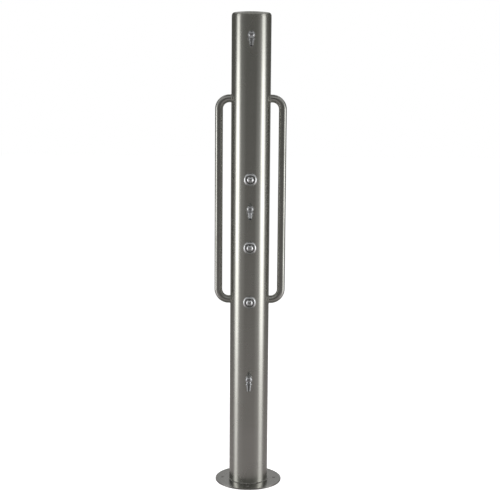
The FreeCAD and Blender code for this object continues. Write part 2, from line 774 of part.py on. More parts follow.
def supply_pipe(name):
    """The bent pipe from a branch of the riser to a valve's port."""
    way = pipe_ways()[name]
    branch = branch_heights()[name]
    valve_end = valve_heights[name] - way * (valve_port_length - pipe_socket_depth + seat_gap)
    points = [on_front(branch_face - pipe_socket_depth + seat_gap, branch), on_front(pipe_plane, branch),
              on_front(pipe_plane, valve_end)]
    return bent_tube(points, pipe_bend_radius, pipe_diameter / 2, pipe_wall)


def compression_nut(origin, direction):
    """A hexagonal nut that slides on a pipe."""
    blank = hexagon(nut_across_flats, nut_length, origin, direction)
    bore = pipe_diameter / 2 + thread_clearance
    return blank.cut(cylinder(bore, nut_length + 2, origin - direction, direction))


def compression_nuts():
    """A nut at each end of each outlet pipe and each supply pipe."""
    nuts = []
    for name, way in pipe_ways().items():
        toward = UP * way
        valve = valve_heights[name]
        reach = valve_port_length + seat_gap
        nuts.append(compression_nut(on_front(pipe_plane, valve) + toward * reach, toward))
        nuts.append(compression_nut(on_front(pipe_plane, valve) - toward * reach, toward * -1))
        elbow_end = on_front(pipe_plane, head_heights[name]) - toward * (elbow_port_length + seat_gap)
        nuts.append(compression_nut(elbow_end, toward * -1))
        nuts.append(compression_nut(on_front(branch_face + seat_gap, branch_heights()[name]), OUT))
    return Part.makeCompound(nuts)


def riser_axis(z):
    """The point on the riser's centre line at a height."""
    return Vector(0, riser_offset, z)


def riser_top():
    """Where the riser ends, above its highest branch."""
    return branch_heights()["upper"] + branch_diameter + riser_above_branch


def stop_valve_top():
    """The stop valve's upper face."""
    return stop_valve_bottom + stop_valve_length


def riser_pipe():
    """The vertical pipe with a branch for each valve."""
    low = stop_valve_top() + seat_gap
    radius = riser_diameter / 2
    solid = cylinder(radius, riser_top() - low, riser_axis(low))
    bores = [cylinder(radius - riser_wall, riser_top() - low + 2, riser_axis(low - 1))]
    branches = []
    reach = branch_face + riser_offset
    for z in branch_heights().values():
        branches.append(cylinder(branch_diameter / 2, reach, riser_axis(z), OUT))
        bores.append(cylinder(pipe_diameter / 2 - pipe_wall, reach + 1, riser_axis(z), OUT))
        bores.append(cylinder(pipe_diameter / 2 + thread_clearance, pipe_socket_depth + 1,
                              on_front(branch_face - pipe_socket_depth, z), OUT))
    return solid.fuse(branches).cut(bores).removeSplitter()


def riser_plug():
    """The plug that closes the riser's top."""
    radius = riser_diameter / 2
    fit = radius - riser_wall - seat_gap
    top = riser_top() + seat_gap
    plug = turned([(0, -plug_spigot_length), (fit, -plug_spigot_length), (fit, 0), (radius, 0),
                   (radius, plug_head_height - plug_head_chamfer),
                   (radius - plug_head_chamfer, plug_head_height), (0, plug_head_height)])
    return aimed(plug, riser_axis(top), UP)


def inlet_pipe():
    """The supply stub: a pipe thread above the floor, and a pipe up to the stop valve."""
    thread = inlet_thread_diameter / 2
    radius = riser_diameter / 2
    bore = radius - riser_wall
    low = inlet_clear_of_floor
    shoulder = low + inlet_thread_length
    top = stop_valve_bottom - seat_gap
    solid = turned([(bore, low), (thread, low), (thread, shoulder), (radius, shoulder), (radius, top),
                    (bore, top)])
    return aimed(solid, riser_axis(0), UP)


def stop_valve_centre():
    """The middle of the stop valve's ball."""
    return riser_axis(stop_valve_bottom + stop_valve_length / 2)


def stop_valve_body():
    """The ball valve's body: two hexagonal ends, a round middle, and a boss for the stem."""
    bore = riser_diameter / 2 - riser_wall
    centre = stop_valve_centre()
    ends = [hexagon(stop_valve_hex, stop_valve_hex_length, riser_axis(z), UP)
            for z in (stop_valve_bottom, stop_valve_top() - stop_valve_hex_length)]
    middle = cylinder(stop_valve_diameter / 2, stop_valve_length - 2 * stop_valve_hex_length + 2,
                      riser_axis(stop_valve_bottom + stop_valve_hex_length - 1))
    boss = cylinder(stop_boss_diameter / 2, stop_boss_reach, centre, OUT * -1)
    cavities = [cylinder(bore, stop_valve_length + 2, riser_axis(stop_valve_bottom - 1)),
                Part.makeSphere(stop_ball_diameter / 2 + running_clearance, centre),
                cylinder(stop_stem_diameter / 2 + running_clearance, stop_boss_reach + 1, centre, OUT * -1)]
    return middle.fuse(ends + [boss]).cut(cavities).removeSplitter()


def lever_plane():
    """How far behind the valve's centre the lever starts."""
    return stop_boss_reach + lever_clear


def stop_valve_ball():
    """The bored ball with the stem that turns it."""
    centre = stop_valve_centre()
    bore = riser_diameter / 2 - riser_wall
    ball = Part.makeSphere(stop_ball_diameter / 2, centre)
    stem_length = lever_plane() + lever_thickness + lever_nut_length + 2
    stem = cylinder(stop_stem_diameter / 2, stem_length, centre, OUT * -1)
    shoulder = cylinder(stop_stem_diameter / 2 + 2, lever_clear - 1,
                        centre - OUT * (lever_plane() - lever_clear + 1), OUT * -1)
    waterway = cylinder(bore, stop_ball_diameter + 4, centre - UP * (stop_ball_diameter / 2 + 2))
    return ball.fuse([stem, shoulder]).cut(waterway).removeSplitter()


def stop_valve_lever():
    """A flat lever that lies along the pipe while the valve is open."""
    hub = stop_valve_centre() - OUT * (lever_plane() + seat_gap)
    plate = cylinder(lever_hub_diameter / 2, lever_thickness, hub, OUT * -1)
    half = lever_width / 2
    arm = box(hub + Vector(-half, 0, 0), hub + Vector(half, lever_thickness, lever_length))
    hole = cylinder(stop_stem_diameter / 2 + seat_gap, lever_thickness + 2, hub + OUT, OUT * -1)
    return plate.fuse(arm).cut(hole).removeSplitter()


def stop_valve_grip():
    """The plastic sleeve on the lever's end."""
    hub = stop_valve_centre() - OUT * (lever_plane() + seat_gap)
    end = hub + UP * (lever_length + grip_wall)
    gap = seat_gap
    outer = box(Vector(-lever_width / 2 - grip_wall, hub.y - grip_wall, end.z - grip_length),
                Vector(lever_width / 2 + grip_wall, hub.y + lever_thickness + grip_wall, end.z))
    outer = outer.makeFillet(grip_edge_radius, [e for e in outer.Edges if abs(e.tangentAt(0).z) > 0.9])
    slot = box(Vector(-lever_width / 2 - gap, hub.y - gap, end.z - grip_length - 1),
               Vector(lever_width / 2 + gap, hub.y + lever_thickness + gap, hub.z + lever_length + gap))
    return outer.cut(slot)


def stop_valve_nut():
    """The nut that holds the lever on its stem."""
    start = stop_valve_centre() - OUT * (lever_plane() + lever_thickness + 2 * seat_gap)
    blank = hexagon(lever_nut_across_flats, lever_nut_length, start, OUT * -1)
    return blank.cut(cylinder(stop_stem_diameter / 2 + seat_gap, lever_nut_length + 2, start + OUT, OUT * -1))


# ================================================================ pipe brackets
def bracket_ring(z):
    """The ring and ears of a pipe clamp, before it is split and drilled."""
    ring_radius = riser_diameter / 2 + bracket_ring_wall
    low = riser_axis(z - bracket_width / 2)
    ears = box(Vector(-ring_radius - bracket_ear, riser_offset - bracket_ear_thickness, low.z),
               Vector(ring_radius + bracket_ear, riser_offset + bracket_ear_thickness, low.z + bracket_width))
    return cylinder(ring_radius, bracket_width, low).fuse(ears)


def bracket_bores(z, screw_radius):
    """The pipe's bore and the two screws' bores."""
    reach = riser_diameter / 2 + bracket_ring_wall + bracket_ear / 2
    pipe_bore = riser_diameter / 2 + thread_clearance
    bores = [cylinder(pipe_bore, bracket_width + 2, riser_axis(z - bracket_width / 2 - 1))]
    for side in (-1, 1):
        bores.append(cylinder(screw_radius, 60, Vector(side * reach, riser_offset - 30, z), OUT * -1))
    return bores


def bracket_half(z, back):
    """One half of a split clamp, the back half being on the side of its arm."""
    big = 4 * riser_diameter
    low, high = (riser_offset + bracket_split / 2, big) if back else (-big, riser_offset - bracket_split / 2)
    side = box(Vector(-big, low, z - bracket_width), Vector(big, high, z + bracket_width))
    return bracket_ring(z).common(side)


def pipe_bracket(z):
    """The clamp's back half with its arm and the curved foot welded to the tube's bore."""
    wall = tube_bore_radius - seat_gap
    half_foot = bracket_foot_width / 2
    arm = box(Vector(-bracket_width / 2, riser_offset + riser_diameter / 2 + 1, z - bracket_width / 2),
              Vector(bracket_width / 2, wall - 1, z + bracket_width / 2))
    foot = shell(wall, wall - bracket_foot_thickness, z - half_foot, z + half_foot)
    foot = foot.common(box(Vector(-half_foot, 0, z - half_foot),
                           Vector(half_foot, tube_radius, z + half_foot)))
    whole = bracket_half(z, True).fuse([arm, foot])
    return whole.cut(bracket_bores(z, bracket_screw_diameter / 2 + seat_gap)).removeSplitter()


def clamp_cap(z):
    """The clamp's front half."""
    return bracket_half(z, False).cut(bracket_bores(z, bracket_screw_diameter / 2 + thread_clearance))


def clamp_screws(z):
    """The two cap-head screws of a clamp."""
    reach = riser_diameter / 2 + bracket_ring_wall + bracket_ear / 2
    radius = bracket_screw_diameter / 2
    length = 2 * bracket_ear_thickness + bracket_screw_end
    head = cylinder(radius * bracket_head_share, 2 * radius)
    key = hexagon(radius * bracket_key_share, radius + 1, UP * radius, UP)
    screw = cylinder(radius, length, UP * -length).fuse(head).cut(key).removeSplitter()
    start = riser_offset - bracket_ear_thickness - seat_gap
    return [aimed(screw, Vector(side * reach, start, z), OUT) for side in (-1, 1)]


# ================================================================ the whole column
def build():
    """Every sub-part by name."""
    valves, heads = valve_heights, head_heights
    parts = {
        "base_flange": base_flange(),
        "column_tube": column_tube(),
        "top_cap": top_cap(),
        "cap_screws": cap_screws(),
        "grab_rail_left": grab_rail(-1),
        "grab_rail_right": grab_rail(1),
        "access_hatch": access_hatch(),
        "hatch_gasket": hatch_gasket(),
        "hatch_frame": hatch_frame(),
        "hatch_screws": hatch_screws(),
        "inlet_pipe": inlet_pipe(),
        "stop_valve_body": stop_valve_body(),
        "stop_valve_ball": stop_valve_ball(),
        "stop_valve_lever": stop_valve_lever(),
        "stop_valve_grip": stop_valve_grip(),
        "stop_valve_nut": stop_valve_nut(),
        "riser_pipe": riser_pipe(),
        "riser_plug": riser_plug(),
        "compression_nuts": compression_nuts(),
        "pipe_brackets": Part.makeCompound([pipe_bracket(z) for z in bracket_heights]),
        "clamp_caps": Part.makeCompound([clamp_cap(z) for z in bracket_heights]),
        "clamp_screws": Part.makeCompound([s for z in bracket_heights for s in clamp_screws(z)]),
        "valve_bodies": Part.makeCompound([valve_body(z) for z in valves.values()]),
        "valve_cartridges": Part.makeCompound([valve_cartridge(z) for z in valves.values()]),
        "valve_gaskets": Part.makeCompound([
            saddle_sheet(rosette_diameter / 2 - 1.5, neck_radius + hole_clearance, valve_gasket_thickness, z)
            for z in valves.values()]),
        "valve_washers": Part.makeCompound([
            backing_washer(valve_nut_across_flats / 2 + 2, neck_radius + thread_clearance, z)
            for z in valves.values()]),
        "valve_lock_nuts": Part.makeCompound([
            lock_nut(valve_nut_across_flats, neck_radius + thread_clearance, z) for z in valves.values()]),
        "head_gaskets": Part.makeCompound([
            saddle_sheet(head_seat_diameter / 2 - 1, thread_diameter / 2 + hole_clearance,
                         head_gasket_thickness, z)
            for z in heads.values()]),
        "head_seats": Part.makeCompound([head_seat(z) for z in heads.values()]),
        "head_washers": Part.makeCompound([
            backing_washer(head_washer_diameter / 2, thread_diameter / 2 + thread_clearance, z)
            for z in heads.values()]),
        "head_lock_nuts": Part.makeCompound([
            lock_nut(head_nut_across_flats, thread_diameter / 2 + thread_clearance, z)
            for z in heads.values()]),
        "inner_elbows": Part.makeCompound([inner_elbow(heads[n], UP * -w) for n, w in pipe_ways().items()]),
    }
    for name in ("upper", "middle", "lower"):
        parts["valve_rosette_" + name] = valve_rosette(valves[name])
        parts["push_button_" + name] = push_button(valves[name])
        parts["button_spring_" + name] = button_spring(valves[name])
        parts["head_spigot_" + name] = head_spigot(name)
        parts["swivel_nut_" + name] = swivel_nut(name)
        parts["spray_nozzle_" + name] = spray_nozzle(name)
        parts["spray_insert_" + name] = spray_insert(name)
        parts["outlet_pipe_" + name] = outlet_pipe(name)
        parts["supply_pipe_" + name] = supply_pipe(name)
    return parts


os.makedirs("parts", exist_ok=True)
for part_name, shape in build().items():
    if not shape.isValid() or not shape.Solids:
        raise ValueError(part_name + " isn't a valid solid")
    shape.exportStep("parts/" + part_name + ".step")
    print(part_name, len(shape.Solids), round(shape.Volume))
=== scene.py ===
"""Looks of a free-standing public shower column in brushed stainless steel.

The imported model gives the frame: every piece here is built in the same space, around the same axes. +Z is up, the
origin is the centre of the base flange's underside, and the push buttons and spray heads face -Y. Sizes in the
classes are millimetres, and the mesh helpers turn them to metres.
"""
import logging
import math
from collections.abc import Sequence
from dataclasses import dataclass
from enum import Enum

import bmesh
import bpy
from mathutils import Matrix, Vector


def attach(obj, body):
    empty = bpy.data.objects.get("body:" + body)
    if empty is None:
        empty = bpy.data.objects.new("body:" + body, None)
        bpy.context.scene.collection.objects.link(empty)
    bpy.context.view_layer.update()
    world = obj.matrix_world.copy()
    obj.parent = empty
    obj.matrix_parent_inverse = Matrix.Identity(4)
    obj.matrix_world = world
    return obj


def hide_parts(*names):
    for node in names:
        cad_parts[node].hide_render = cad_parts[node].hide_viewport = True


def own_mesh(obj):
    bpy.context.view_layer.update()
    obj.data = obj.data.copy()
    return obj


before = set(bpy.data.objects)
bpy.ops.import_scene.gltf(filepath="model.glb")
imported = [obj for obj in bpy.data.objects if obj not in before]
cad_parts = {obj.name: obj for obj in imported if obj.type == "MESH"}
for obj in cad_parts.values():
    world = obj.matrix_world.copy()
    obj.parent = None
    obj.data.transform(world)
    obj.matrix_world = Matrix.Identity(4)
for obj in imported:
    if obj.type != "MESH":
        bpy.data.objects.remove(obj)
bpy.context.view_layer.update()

logging.basicConfig(level=logging.INFO, format="%(message)s")
log = logging.getLogger("shower_column")

MM = 0.001
UP = Vector((0.0, 0.0, 1.0))
OUT = Vector((0.0, -1.0, 0.0))
ROOT_BODY = "column"
Corner = tuple[float, float, float]
Point = tuple[float, float]
Scale = tuple[float, float, float]
GlowRow = tuple[float, float]
FadeRow = tuple[float, float, float]

# Sizes that several sub-assemblies share, in millimetres: the column's tube, and the outer face of the gaskets on it.
CASING_RADIUS = 84.15
CASING_WALL = 2.0
GASKET_FACE = 85.25
# How many sides everything round the column's axis has, so that pieces which share its surface share its facets.
CASING_SEGMENTS = 240
# How far two faces that would touch are kept apart, so that neither shows through the other.
SEAT_GAP = 0.05
# How far a cutter reaches past what it cuts.
CUT_PAST = 10.0
# How many sides a small hole or screw has.
SMALL_SEGMENTS = 48
# The most of a side that one fillet takes, so that the fillets at its two ends never meet.
FILLET_SHARE = 0.48
# A point of a profile that is nearer the axis than this is on it.
ON_AXIS = 1e-6
# Nearly all of a noise lies between these two values.
NOISE_RANGE = (0.3, 0.7)
# The two values of a noise between which a finish drifts from its colour to its shade.
TINT_RANGE = (0.35, 0.68)


# ------------------------------------------------------------------------------------------------ colours and nodes
def linear(hex_colour: str) -> tuple[float, float, float, float]:
    """Turns an sRGB hex colour into linear light.

    Args:
        hex_colour: six hex digits with a leading hash.

    Returns:
        Red, green, blue, and an alpha of one.
    """
    values = [int(hex_colour[i:i + 2], 16) / 255 for i in (1, 3, 5)]
    light = [v / 12.92 if v <= 0.04045 else ((v + 0.055) / 1.055) ** 2.4 for v in values]
    return (light[0], light[1], light[2], 1.0)


def add_node(tree: bpy.types.NodeTree, kind: str, inputs: dict | None = None, **settings) -> bpy.types.Node:
    """Adds one node with its settings, its values and the links that feed it.

    Args:
        tree: the node tree that it goes in.
        kind: the node's type name.
        inputs: socket name or number, to a value or to the output socket that feeds it.
        **settings: attributes that are set on the node first.

    Returns:
        The new node.
    """
    made = tree.nodes.new(kind)
    for name, value in settings.items():
        setattr(made, name, value)
    for name, value in (inputs or {}).items():
        if isinstance(value, bpy.types.NodeSocket):
            tree.links.new(value, made.inputs[name])
        else:
            made.inputs[name].default_value = value
    return made


def blank_material(name: str) -> bpy.types.Material:
    """Makes a material whose node tree is empty.

    Args:
        name: its name.

    Returns:
        The material.
    """
    material = bpy.data.materials.new(name)
    material.use_nodes = True
    material.node_tree.nodes.clear()
    return material


class Grain(Enum):
    """How the polishing lines of a metal run."""

    AROUND_COLUMN = "level rings round the column's axis"
    AROUND_TUBE = "rings round a bent tube's own axis"


@dataclass(frozen=True)
class Finish:
    """A surface with a drifting colour, a drifting gloss and a fine texture.

    The colour drifts between colour and shade over drift_mm, and the roughness by gloss_drift each way.
    """

    name: str
    colour: str
    shade: str
    roughness: float
    metallic: float = 0.0
    drift_mm: float = 40.0
    gloss_drift: float = 0.04
    texture_mm: float = 1.0
    texture_depth_mm: float = 0.0

    def build(self) -> bpy.types.Material:
        """Makes the material.

        Returns:
            The material.
        """
        material = blank_material(self.name)
        tree = material.node_tree
        shader = add_node(tree, "ShaderNodeBsdfPrincipled", {"Metallic": self.metallic})
        add_node(tree, "ShaderNodeOutputMaterial", {"Surface": shader.outputs["BSDF"]})
        self.paint(tree, shader)
        return material

    def paint(self, tree: bpy.types.NodeTree, shader: bpy.types.Node) -> None:
        """Adds the colour, the gloss and the texture.

        Args:
            tree: the material's node tree.
            shader: its Principled shader.
        """
        place = add_node(tree, "ShaderNodeTexCoord").outputs["Object"]
        drift = self.noise(tree, place, 1 / (self.drift_mm * MM), 3.0)
        self.tint(tree, shader, drift)
        gloss = self.spread(tree, drift, self.roughness - self.gloss_drift, self.roughness + self.gloss_drift)
        tree.links.new(gloss, shader.inputs["Roughness"])
        if self.texture_depth_mm:
            texture = self.noise(tree, place, 1 / (self.texture_mm * MM), 2.0)
            self.emboss(tree, shader, texture, self.texture_depth_mm)

    def noise(self, tree: bpy.types.NodeTree, place: bpy.types.NodeSocket, scale: float,
              detail: float) -> bpy.types.NodeSocket:
        """Adds a noise.

        Args:
            tree: the material's node tree.
            place: the coordinates that it reads.
            scale: how many features one unit of them holds.
            detail: how many finer layers it has.

        Returns:
            The noise, from 0 to 1.
        """
        made = add_node(tree, "ShaderNodeTexNoise", {"Vector": place, "Scale": scale, "Detail": detail})
        return made.outputs["Fac"]

    def spread(self, tree: bpy.types.NodeTree, value: bpy.types.NodeSocket, low: float,
               high: float) -> bpy.types.NodeSocket:
        """Maps the usual range of a noise onto two limits.

        Args:
            tree: the material's node tree.
            value: the noise.
            low: the lower limit.
            high: the upper limit.

        Returns:
            The mapped value.
        """
        mapped = add_node(tree, "ShaderNodeMapRange", {"Value": value, "From Min": NOISE_RANGE[0],
                                                       "From Max": NOISE_RANGE[1], "To Min": low, "To Max": high})
        return mapped.outputs["Result"]

    def tint(self, tree: bpy.types.NodeTree, shader: bpy.types.Node, factor: bpy.types.NodeSocket) -> None:
        """Lets the base colour drift between the finish's two colours.

        Args:
            tree: the material's node tree.
            shader: its Principled shader.
            factor: the noise that it follows.
        """
        ramp = add_node(tree, "ShaderNodeValToRGB", {"Fac": factor})
        for stop, place, shade in zip(ramp.color_ramp.elements, TINT_RANGE, (self.colour, self.shade)):
            stop.position = place
            stop.color = linear(shade)
        tree.links.new(ramp.outputs["Color"], shader.inputs["Base Color"])

    def emboss(self, tree: bpy.types.NodeTree, shader: bpy.types.Node, height: bpy.types.NodeSocket,
               depth_mm: float) -> None:
        """Adds a bump.

        Args:
            tree: the material's node tree.
            shader: its Principled shader.
            height: the pattern.
            depth_mm: how deep the pattern is.
        """
        bump = add_node(tree, "ShaderNodeBump", {"Height": height, "Strength": 1.0, "Distance": depth_mm * MM})
        tree.links.new(bump.outputs["Normal"], shader.inputs["Normal"])


@dataclass(frozen=True)
class BrushedFinish(Finish):
    """A metal polished with a belt or a pad, which leaves fine parallel lines.

    A highlight is drawn out across the lines, by the anisotropy. A belt's own lines are a few hundredths of a
    millimetre apart, too fine to show, so they are drawn as coarse as line_mm. line_length_mm is how far one runs
    before it fades.
    """

    grain: Grain = Grain.AROUND_COLUMN
    anisotropy: float = 0.8
    line_mm: float = 1.2
    line_length_mm: float = 120.0
    line_depth_mm: float = 0.0006
    line_contrast: float = 0.5

    def paint(self, tree: bpy.types.NodeTree, shader: bpy.types.Node) -> None:
        """Adds the drift, the lines and the direction of the highlight.

        Args:
            tree: the material's node tree.
            shader: its Principled shader.
        """
        shader.inputs["Anisotropic"].default_value = self.anisotropy
        place = add_node(tree, "ShaderNodeTexCoord").outputs["Object"]
        if self.grain is Grain.AROUND_TUBE:
            across = add_node(tree, "ShaderNodeAttribute", attribute_name="along").outputs["Vector"]
            along_tube = add_node(tree, "ShaderNodeAttribute", attribute_name="reach").outputs["Fac"]
            lines_at = self.stretched(tree, place, along_tube)
        else:
            across = self.across_rings(tree, place)
            lines_at = self.stretched(tree, place, self.ring_position(tree, place))
        tree.links.new(across, shader.inputs["Tangent"])
        lines = self.noise(tree, lines_at, 1.0, 2.0)
        drift = self.noise(tree, place, 1 / (self.drift_mm * MM), 2.0)
        mixed = add_node(tree, "ShaderNodeMix", {0: self.line_contrast, 2: drift, 3: lines})
        self.tint(tree, shader, mixed.outputs[0])
        gloss = self.spread(tree, drift, self.roughness - self.gloss_drift, self.roughness + self.gloss_drift)
        tree.links.new(gloss, shader.inputs["Roughness"])
        self.emboss(tree, shader, lines, self.line_depth_mm)

    def across_rings(self, tree: bpy.types.NodeTree, place: bpy.types.NodeSocket) -> bpy.types.NodeSocket:
        """Gives the direction on the surface that crosses rings round the column's axis.

        Args:
            tree: the material's node tree.
            place: the piece's own coordinates.

        Returns:
            A unit direction.
        """
        round_axis = add_node(tree, "ShaderNodeVectorMath", {0: UP, 1: place}, operation="CROSS_PRODUCT")
        normal = add_node(tree, "ShaderNodeNewGeometry").outputs["Normal"]
        crossed = add_node(tree, "ShaderNodeVectorMath", {0: normal, 1: round_axis.outputs["Vector"]},
                           operation="CROSS_PRODUCT")
        unit = add_node(tree, "ShaderNodeVectorMath", {0: crossed.outputs["Vector"]}, operation="NORMALIZE")
        return unit.outputs["Vector"]

    def ring_position(self, tree: bpy.types.NodeTree, place: bpy.types.NodeSocket) -> bpy.types.NodeSocket:
        """Gives height plus distance from the axis, which is the same all along one polishing line.

        Args:
            tree: the material's node tree.
            place: the piece's own coordinates.

        Returns:
            The sum, in metres.
        """
        parts = add_node(tree, "ShaderNodeSeparateXYZ", {"Vector": place})
        level = add_node(tree, "ShaderNodeCombineXYZ", {"X": parts.outputs["X"], "Y": parts.outputs["Y"]})
        radius = add_node(tree, "ShaderNodeVectorMath", {0: level.outputs["Vector"]}, operation="LENGTH")
        total = add_node(tree, "ShaderNodeMath", {0: parts.outputs["Z"], 1: radius.outputs["Value"]}, operation="ADD")
        return total.outputs["Value"]

    def stretched(self, tree: bpy.types.NodeTree, place: bpy.types.NodeSocket,
                  position: bpy.types.NodeSocket) -> bpy.types.NodeSocket:
        """Builds coordinates in which the polishing lines are as long as they are wide.

        Args:
            tree: the material's node tree.
            place: the piece's own coordinates.
            position: a measure that is the same all along one line.

        Returns:
            The coordinates.
        """
        parts = add_node(tree, "ShaderNodeSeparateXYZ", {"Vector": place})
        fine = add_node(tree, "ShaderNodeMath", {0: position, 1: 1 / (self.line_mm * MM)}, operation="MULTIPLY")
        slow = 1 / (self.line_length_mm * MM)
        x = add_node(tree, "ShaderNodeMath", {0: parts.outputs["X"], 1: slow}, operation="MULTIPLY")
        y = add_node(tree, "ShaderNodeMath", {0: parts.outputs["Y"], 1: slow}, operation="MULTIPLY")
        joined = add_node(tree, "ShaderNodeCombineXYZ", {"X": x.outputs["Value"], "Y": y.outputs["Value"],
                                                         "Z": fine.outputs["Value"]})
        return joined.outputs["Vector"]


# Stainless tube, polished in a lathe with a 240-grit belt: level hairlines, and highlights drawn out up and down.
CASING_STEEL = BrushedFinish("brushed_stainless_tube", "#C8C8C2", "#BFBFB8", 0.27, 1.0, 160.0, 0.02)
# The same steel on a drawn tube of small bore: darker, with tighter highlights that run along the tube.
RAIL_STEEL = BrushedFinish("satin_stainless_rail", "#BDBDB8", "#B0B0AA", 0.27, 1.0, 90.0, 0.03,
                           grain=Grain.AROUND_TUBE, anisotropy=0.7, line_depth_mm=0.0001, line_contrast=0.15)
# Hot-rolled plate turned on its face: rings, and a flatter, greyer shine than the tube's.
PLATE_STEEL = BrushedFinish("turned_stainless_plate", "#A6A5A2", "#989794", 0.24, 1.0, 60.0, 0.04, anisotropy=0.35,
                            line_mm=2.0)
# Pickled weld metal: dull, grey and lightly pitted.
WELD_STEEL = Finish("pickled_weld", "#A3A29E", "#8C8B87", 0.42, 1.0, 6.0, 0.08, 0.8, 0.03)
# Brass with nickel and chrome plate: near a mirror but a little worn, cool, with faint wiping marks.
CHROME = Finish("chrome_plate", "#D3D4D5", "#C8C9CB", 0.12, 1.0, 25.0, 0.02)
# The same plate over a blasted casting, worn by scale: soft spots of light where the other has sharp ones.
SATIN_CHROME = Finish("satin_chrome_plate", "#BEBFC0", "#AEAFB1", 0.28, 1.0, 18.0, 0.03)
# Nickel plate, darkened as painted shade: its dark grey stands for the shade in the groove round each button.
NICKEL = Finish("dulled_nickel_plate", "#77756F", "#66645F", 0.34, 1.0, 10.0, 0.05)
# Plain stainless screw steel: tumbled, a little brighter than the plate.
SCREW_STEEL = Finish("tumbled_stainless", "#B9B7B3", "#9F9D98", 0.30, 1.0, 3.0, 0.06)
# Drawn stainless pipe as delivered: smooth and grey.
PIPE_STEEL = Finish("drawn_stainless_pipe", "#A9A7A2", "#96938D", 0.33, 1.0, 30.0, 0.05)
# Cast and turned brass, slightly tarnished.
BRASS = Finish("turned_brass", "#B5934F", "#8F6F38", 0.32, 1.0, 12.0, 0.08, 0.6, 0.02)
# Black EPDM rubber: matt, with a moulded skin.
RUBBER = Finish("moulded_rubber", "#1B1B1B", "#242424", 0.72, 0.0, 15.0, 0.06, 0.7, 0.03)
# White acetal: waxy and even.
WHITE_ACETAL = Finish("white_acetal", "#DAD9D3", "#CFCDC6", 0.40, 0.0, 20.0, 0.05)
# Dark grey acetal of the spray plates: matt, with a fine spark-eroded grain.
GREY_ACETAL = Finish("grey_acetal", "#2B2C2E", "#37383A", 0.48, 0.0, 8.0, 0.06, 0.4, 0.02)
# Blue vinyl that the lever's end is dipped in: soft gloss.
BLUE_VINYL = Finish("dipped_vinyl", "#12305F", "#0F2950", 0.33, 0.0, 18.0, 0.05)
# Oil-tempered spring wire: dark and smooth.
SPRING_WIRE = Finish("spring_wire", "#7C7A76", "#65635F", 0.35, 1.0, 5.0, 0.06)


# --------------------------------------------------------------------------------------------------------- meshes
def rounded(corners: Sequence[Corner], steps: int = 4, closed: bool = True) -> list[Point]:
    """Rounds the corners of a profile.

    Args:
        corners: radius, height and fillet radius of each corner.
        steps: how many straight lengths each fillet has.
        closed: whether the last corner joins the first.

    Returns:
        The points of the rounded profile.
    """
    points: list[Point] = []
    count = len(corners)
    for i, (r, z, fillet) in enumerate(corners):
        if fillet <= 0 or (not closed and i in (0, count - 1)):
            points.append((r, z))
            continue
        here = Vector((r, z))
        back = Vector(corners[i - 1][:2]) - here
        ahead = Vector(corners[(i + 1) % count][:2]) - here
        half = back.angle(ahead) / 2
        reach = min(fillet / math.tan(half), FILLET_SHARE * back.length, FILLET_SHARE * ahead.length)
        start = here + back.normalized() * reach
        end = here + ahead.normalized() * reach
        for k in range(steps + 1):
            t = k / steps
            # A quadratic curve stands in for the arc. At a square corner it runs a sixteenth of the fillet outside.
            p = start * (1 - t) ** 2 + here * 2 * t * (1 - t) + end * t ** 2
            points.append((p.x, p.y))
    return points


def arc(centre: Point, radius: float, start: float, end: float, steps: int) -> list[Point]:
    """Gives points along an arc of a profile.

    Args:
        centre: the arc's centre.
        radius: its radius.
        start: the angle that it starts at, in degrees.
        end: the angle that it ends at.
        steps: how many straight lengths it has.

    Returns:
        The points, both ends among them.
    """
    angles = [math.radians(start + (end - start) * k / steps) for k in range(steps + 1)]
    return [(centre[0] + radius * math.cos(a), centre[1] + radius * math.sin(a)) for a in angles]


def arc_through(first: Point, middle: Point, last: Point, steps: int) -> list[Point]:
    """Gives points along the arc through three points of a profile.

    Args:
        first: where it starts.
        middle: a point that it passes through.
        last: where it ends.
        steps: how many straight lengths it has.

    Returns:
        The points, both ends among them.
    """
    (ax, ay), (bx, by), (cx, cy) = first, middle, last
    twice = 2 * (ax * (by - cy) + bx * (cy - ay) + cx * (ay - by))
    a2, b2, c2 = ax ** 2 + ay ** 2, bx ** 2 + by ** 2, cx ** 2 + cy ** 2
    x = (a2 * (by - cy) + b2 * (cy - ay) + c2 * (ay - by)) / twice
    y = (a2 * (cx - bx) + b2 * (ax - cx) + c2 * (bx - ax)) / twice
    start = math.degrees(math.atan2(ay - y, ax - x))
    end = math.degrees(math.atan2(cy - y, cx - x))
    return arc((x, y), math.hypot(ax - x, ay - y), start, end, steps)


def lathe(profile: Sequence[Point], segments: int, closed: bool = True) -> bmesh.types.BMesh:
    """Turns a profile about +Z into a closed skin.

    Args:
        profile: radius and height of each point, in millimetres.
        segments: how many sides the turned shape has.
        closed: whether the last point joins the first. A profile that starts and ends on the axis isn't joined.

    Returns:
        The mesh, in metres.
    """
    mesh = bmesh.new()
    rings = []
    for r, z in profile:
        if r < ON_AXIS:
            rings.append([mesh.verts.new((0.0, 0.0, z * MM))])
        else:
            rings.append([mesh.verts.new((r * MM * math.cos(a), r * MM * math.sin(a), z * MM))
                          for a in (2 * math.pi * k / segments for k in range(segments))])
    pairs = list(zip(rings, rings[1:]))
    if closed and not (len(rings[0]) == 1 and len(rings[-1]) == 1):
        pairs.append((rings[-1], rings[0]))
    for low, high in pairs:
        for k in range(segments):
            after = (k + 1) % segments
            corners = [low[k % len(low)], low[after % len(low)], high[after % len(high)], high[k % len(high)]]
            distinct = list(dict.fromkeys(corners))
            if len(distinct) > 2:
                mesh.faces.new(distinct)
    bmesh.ops.recalc_face_normals(mesh, faces=mesh.faces)
    return mesh


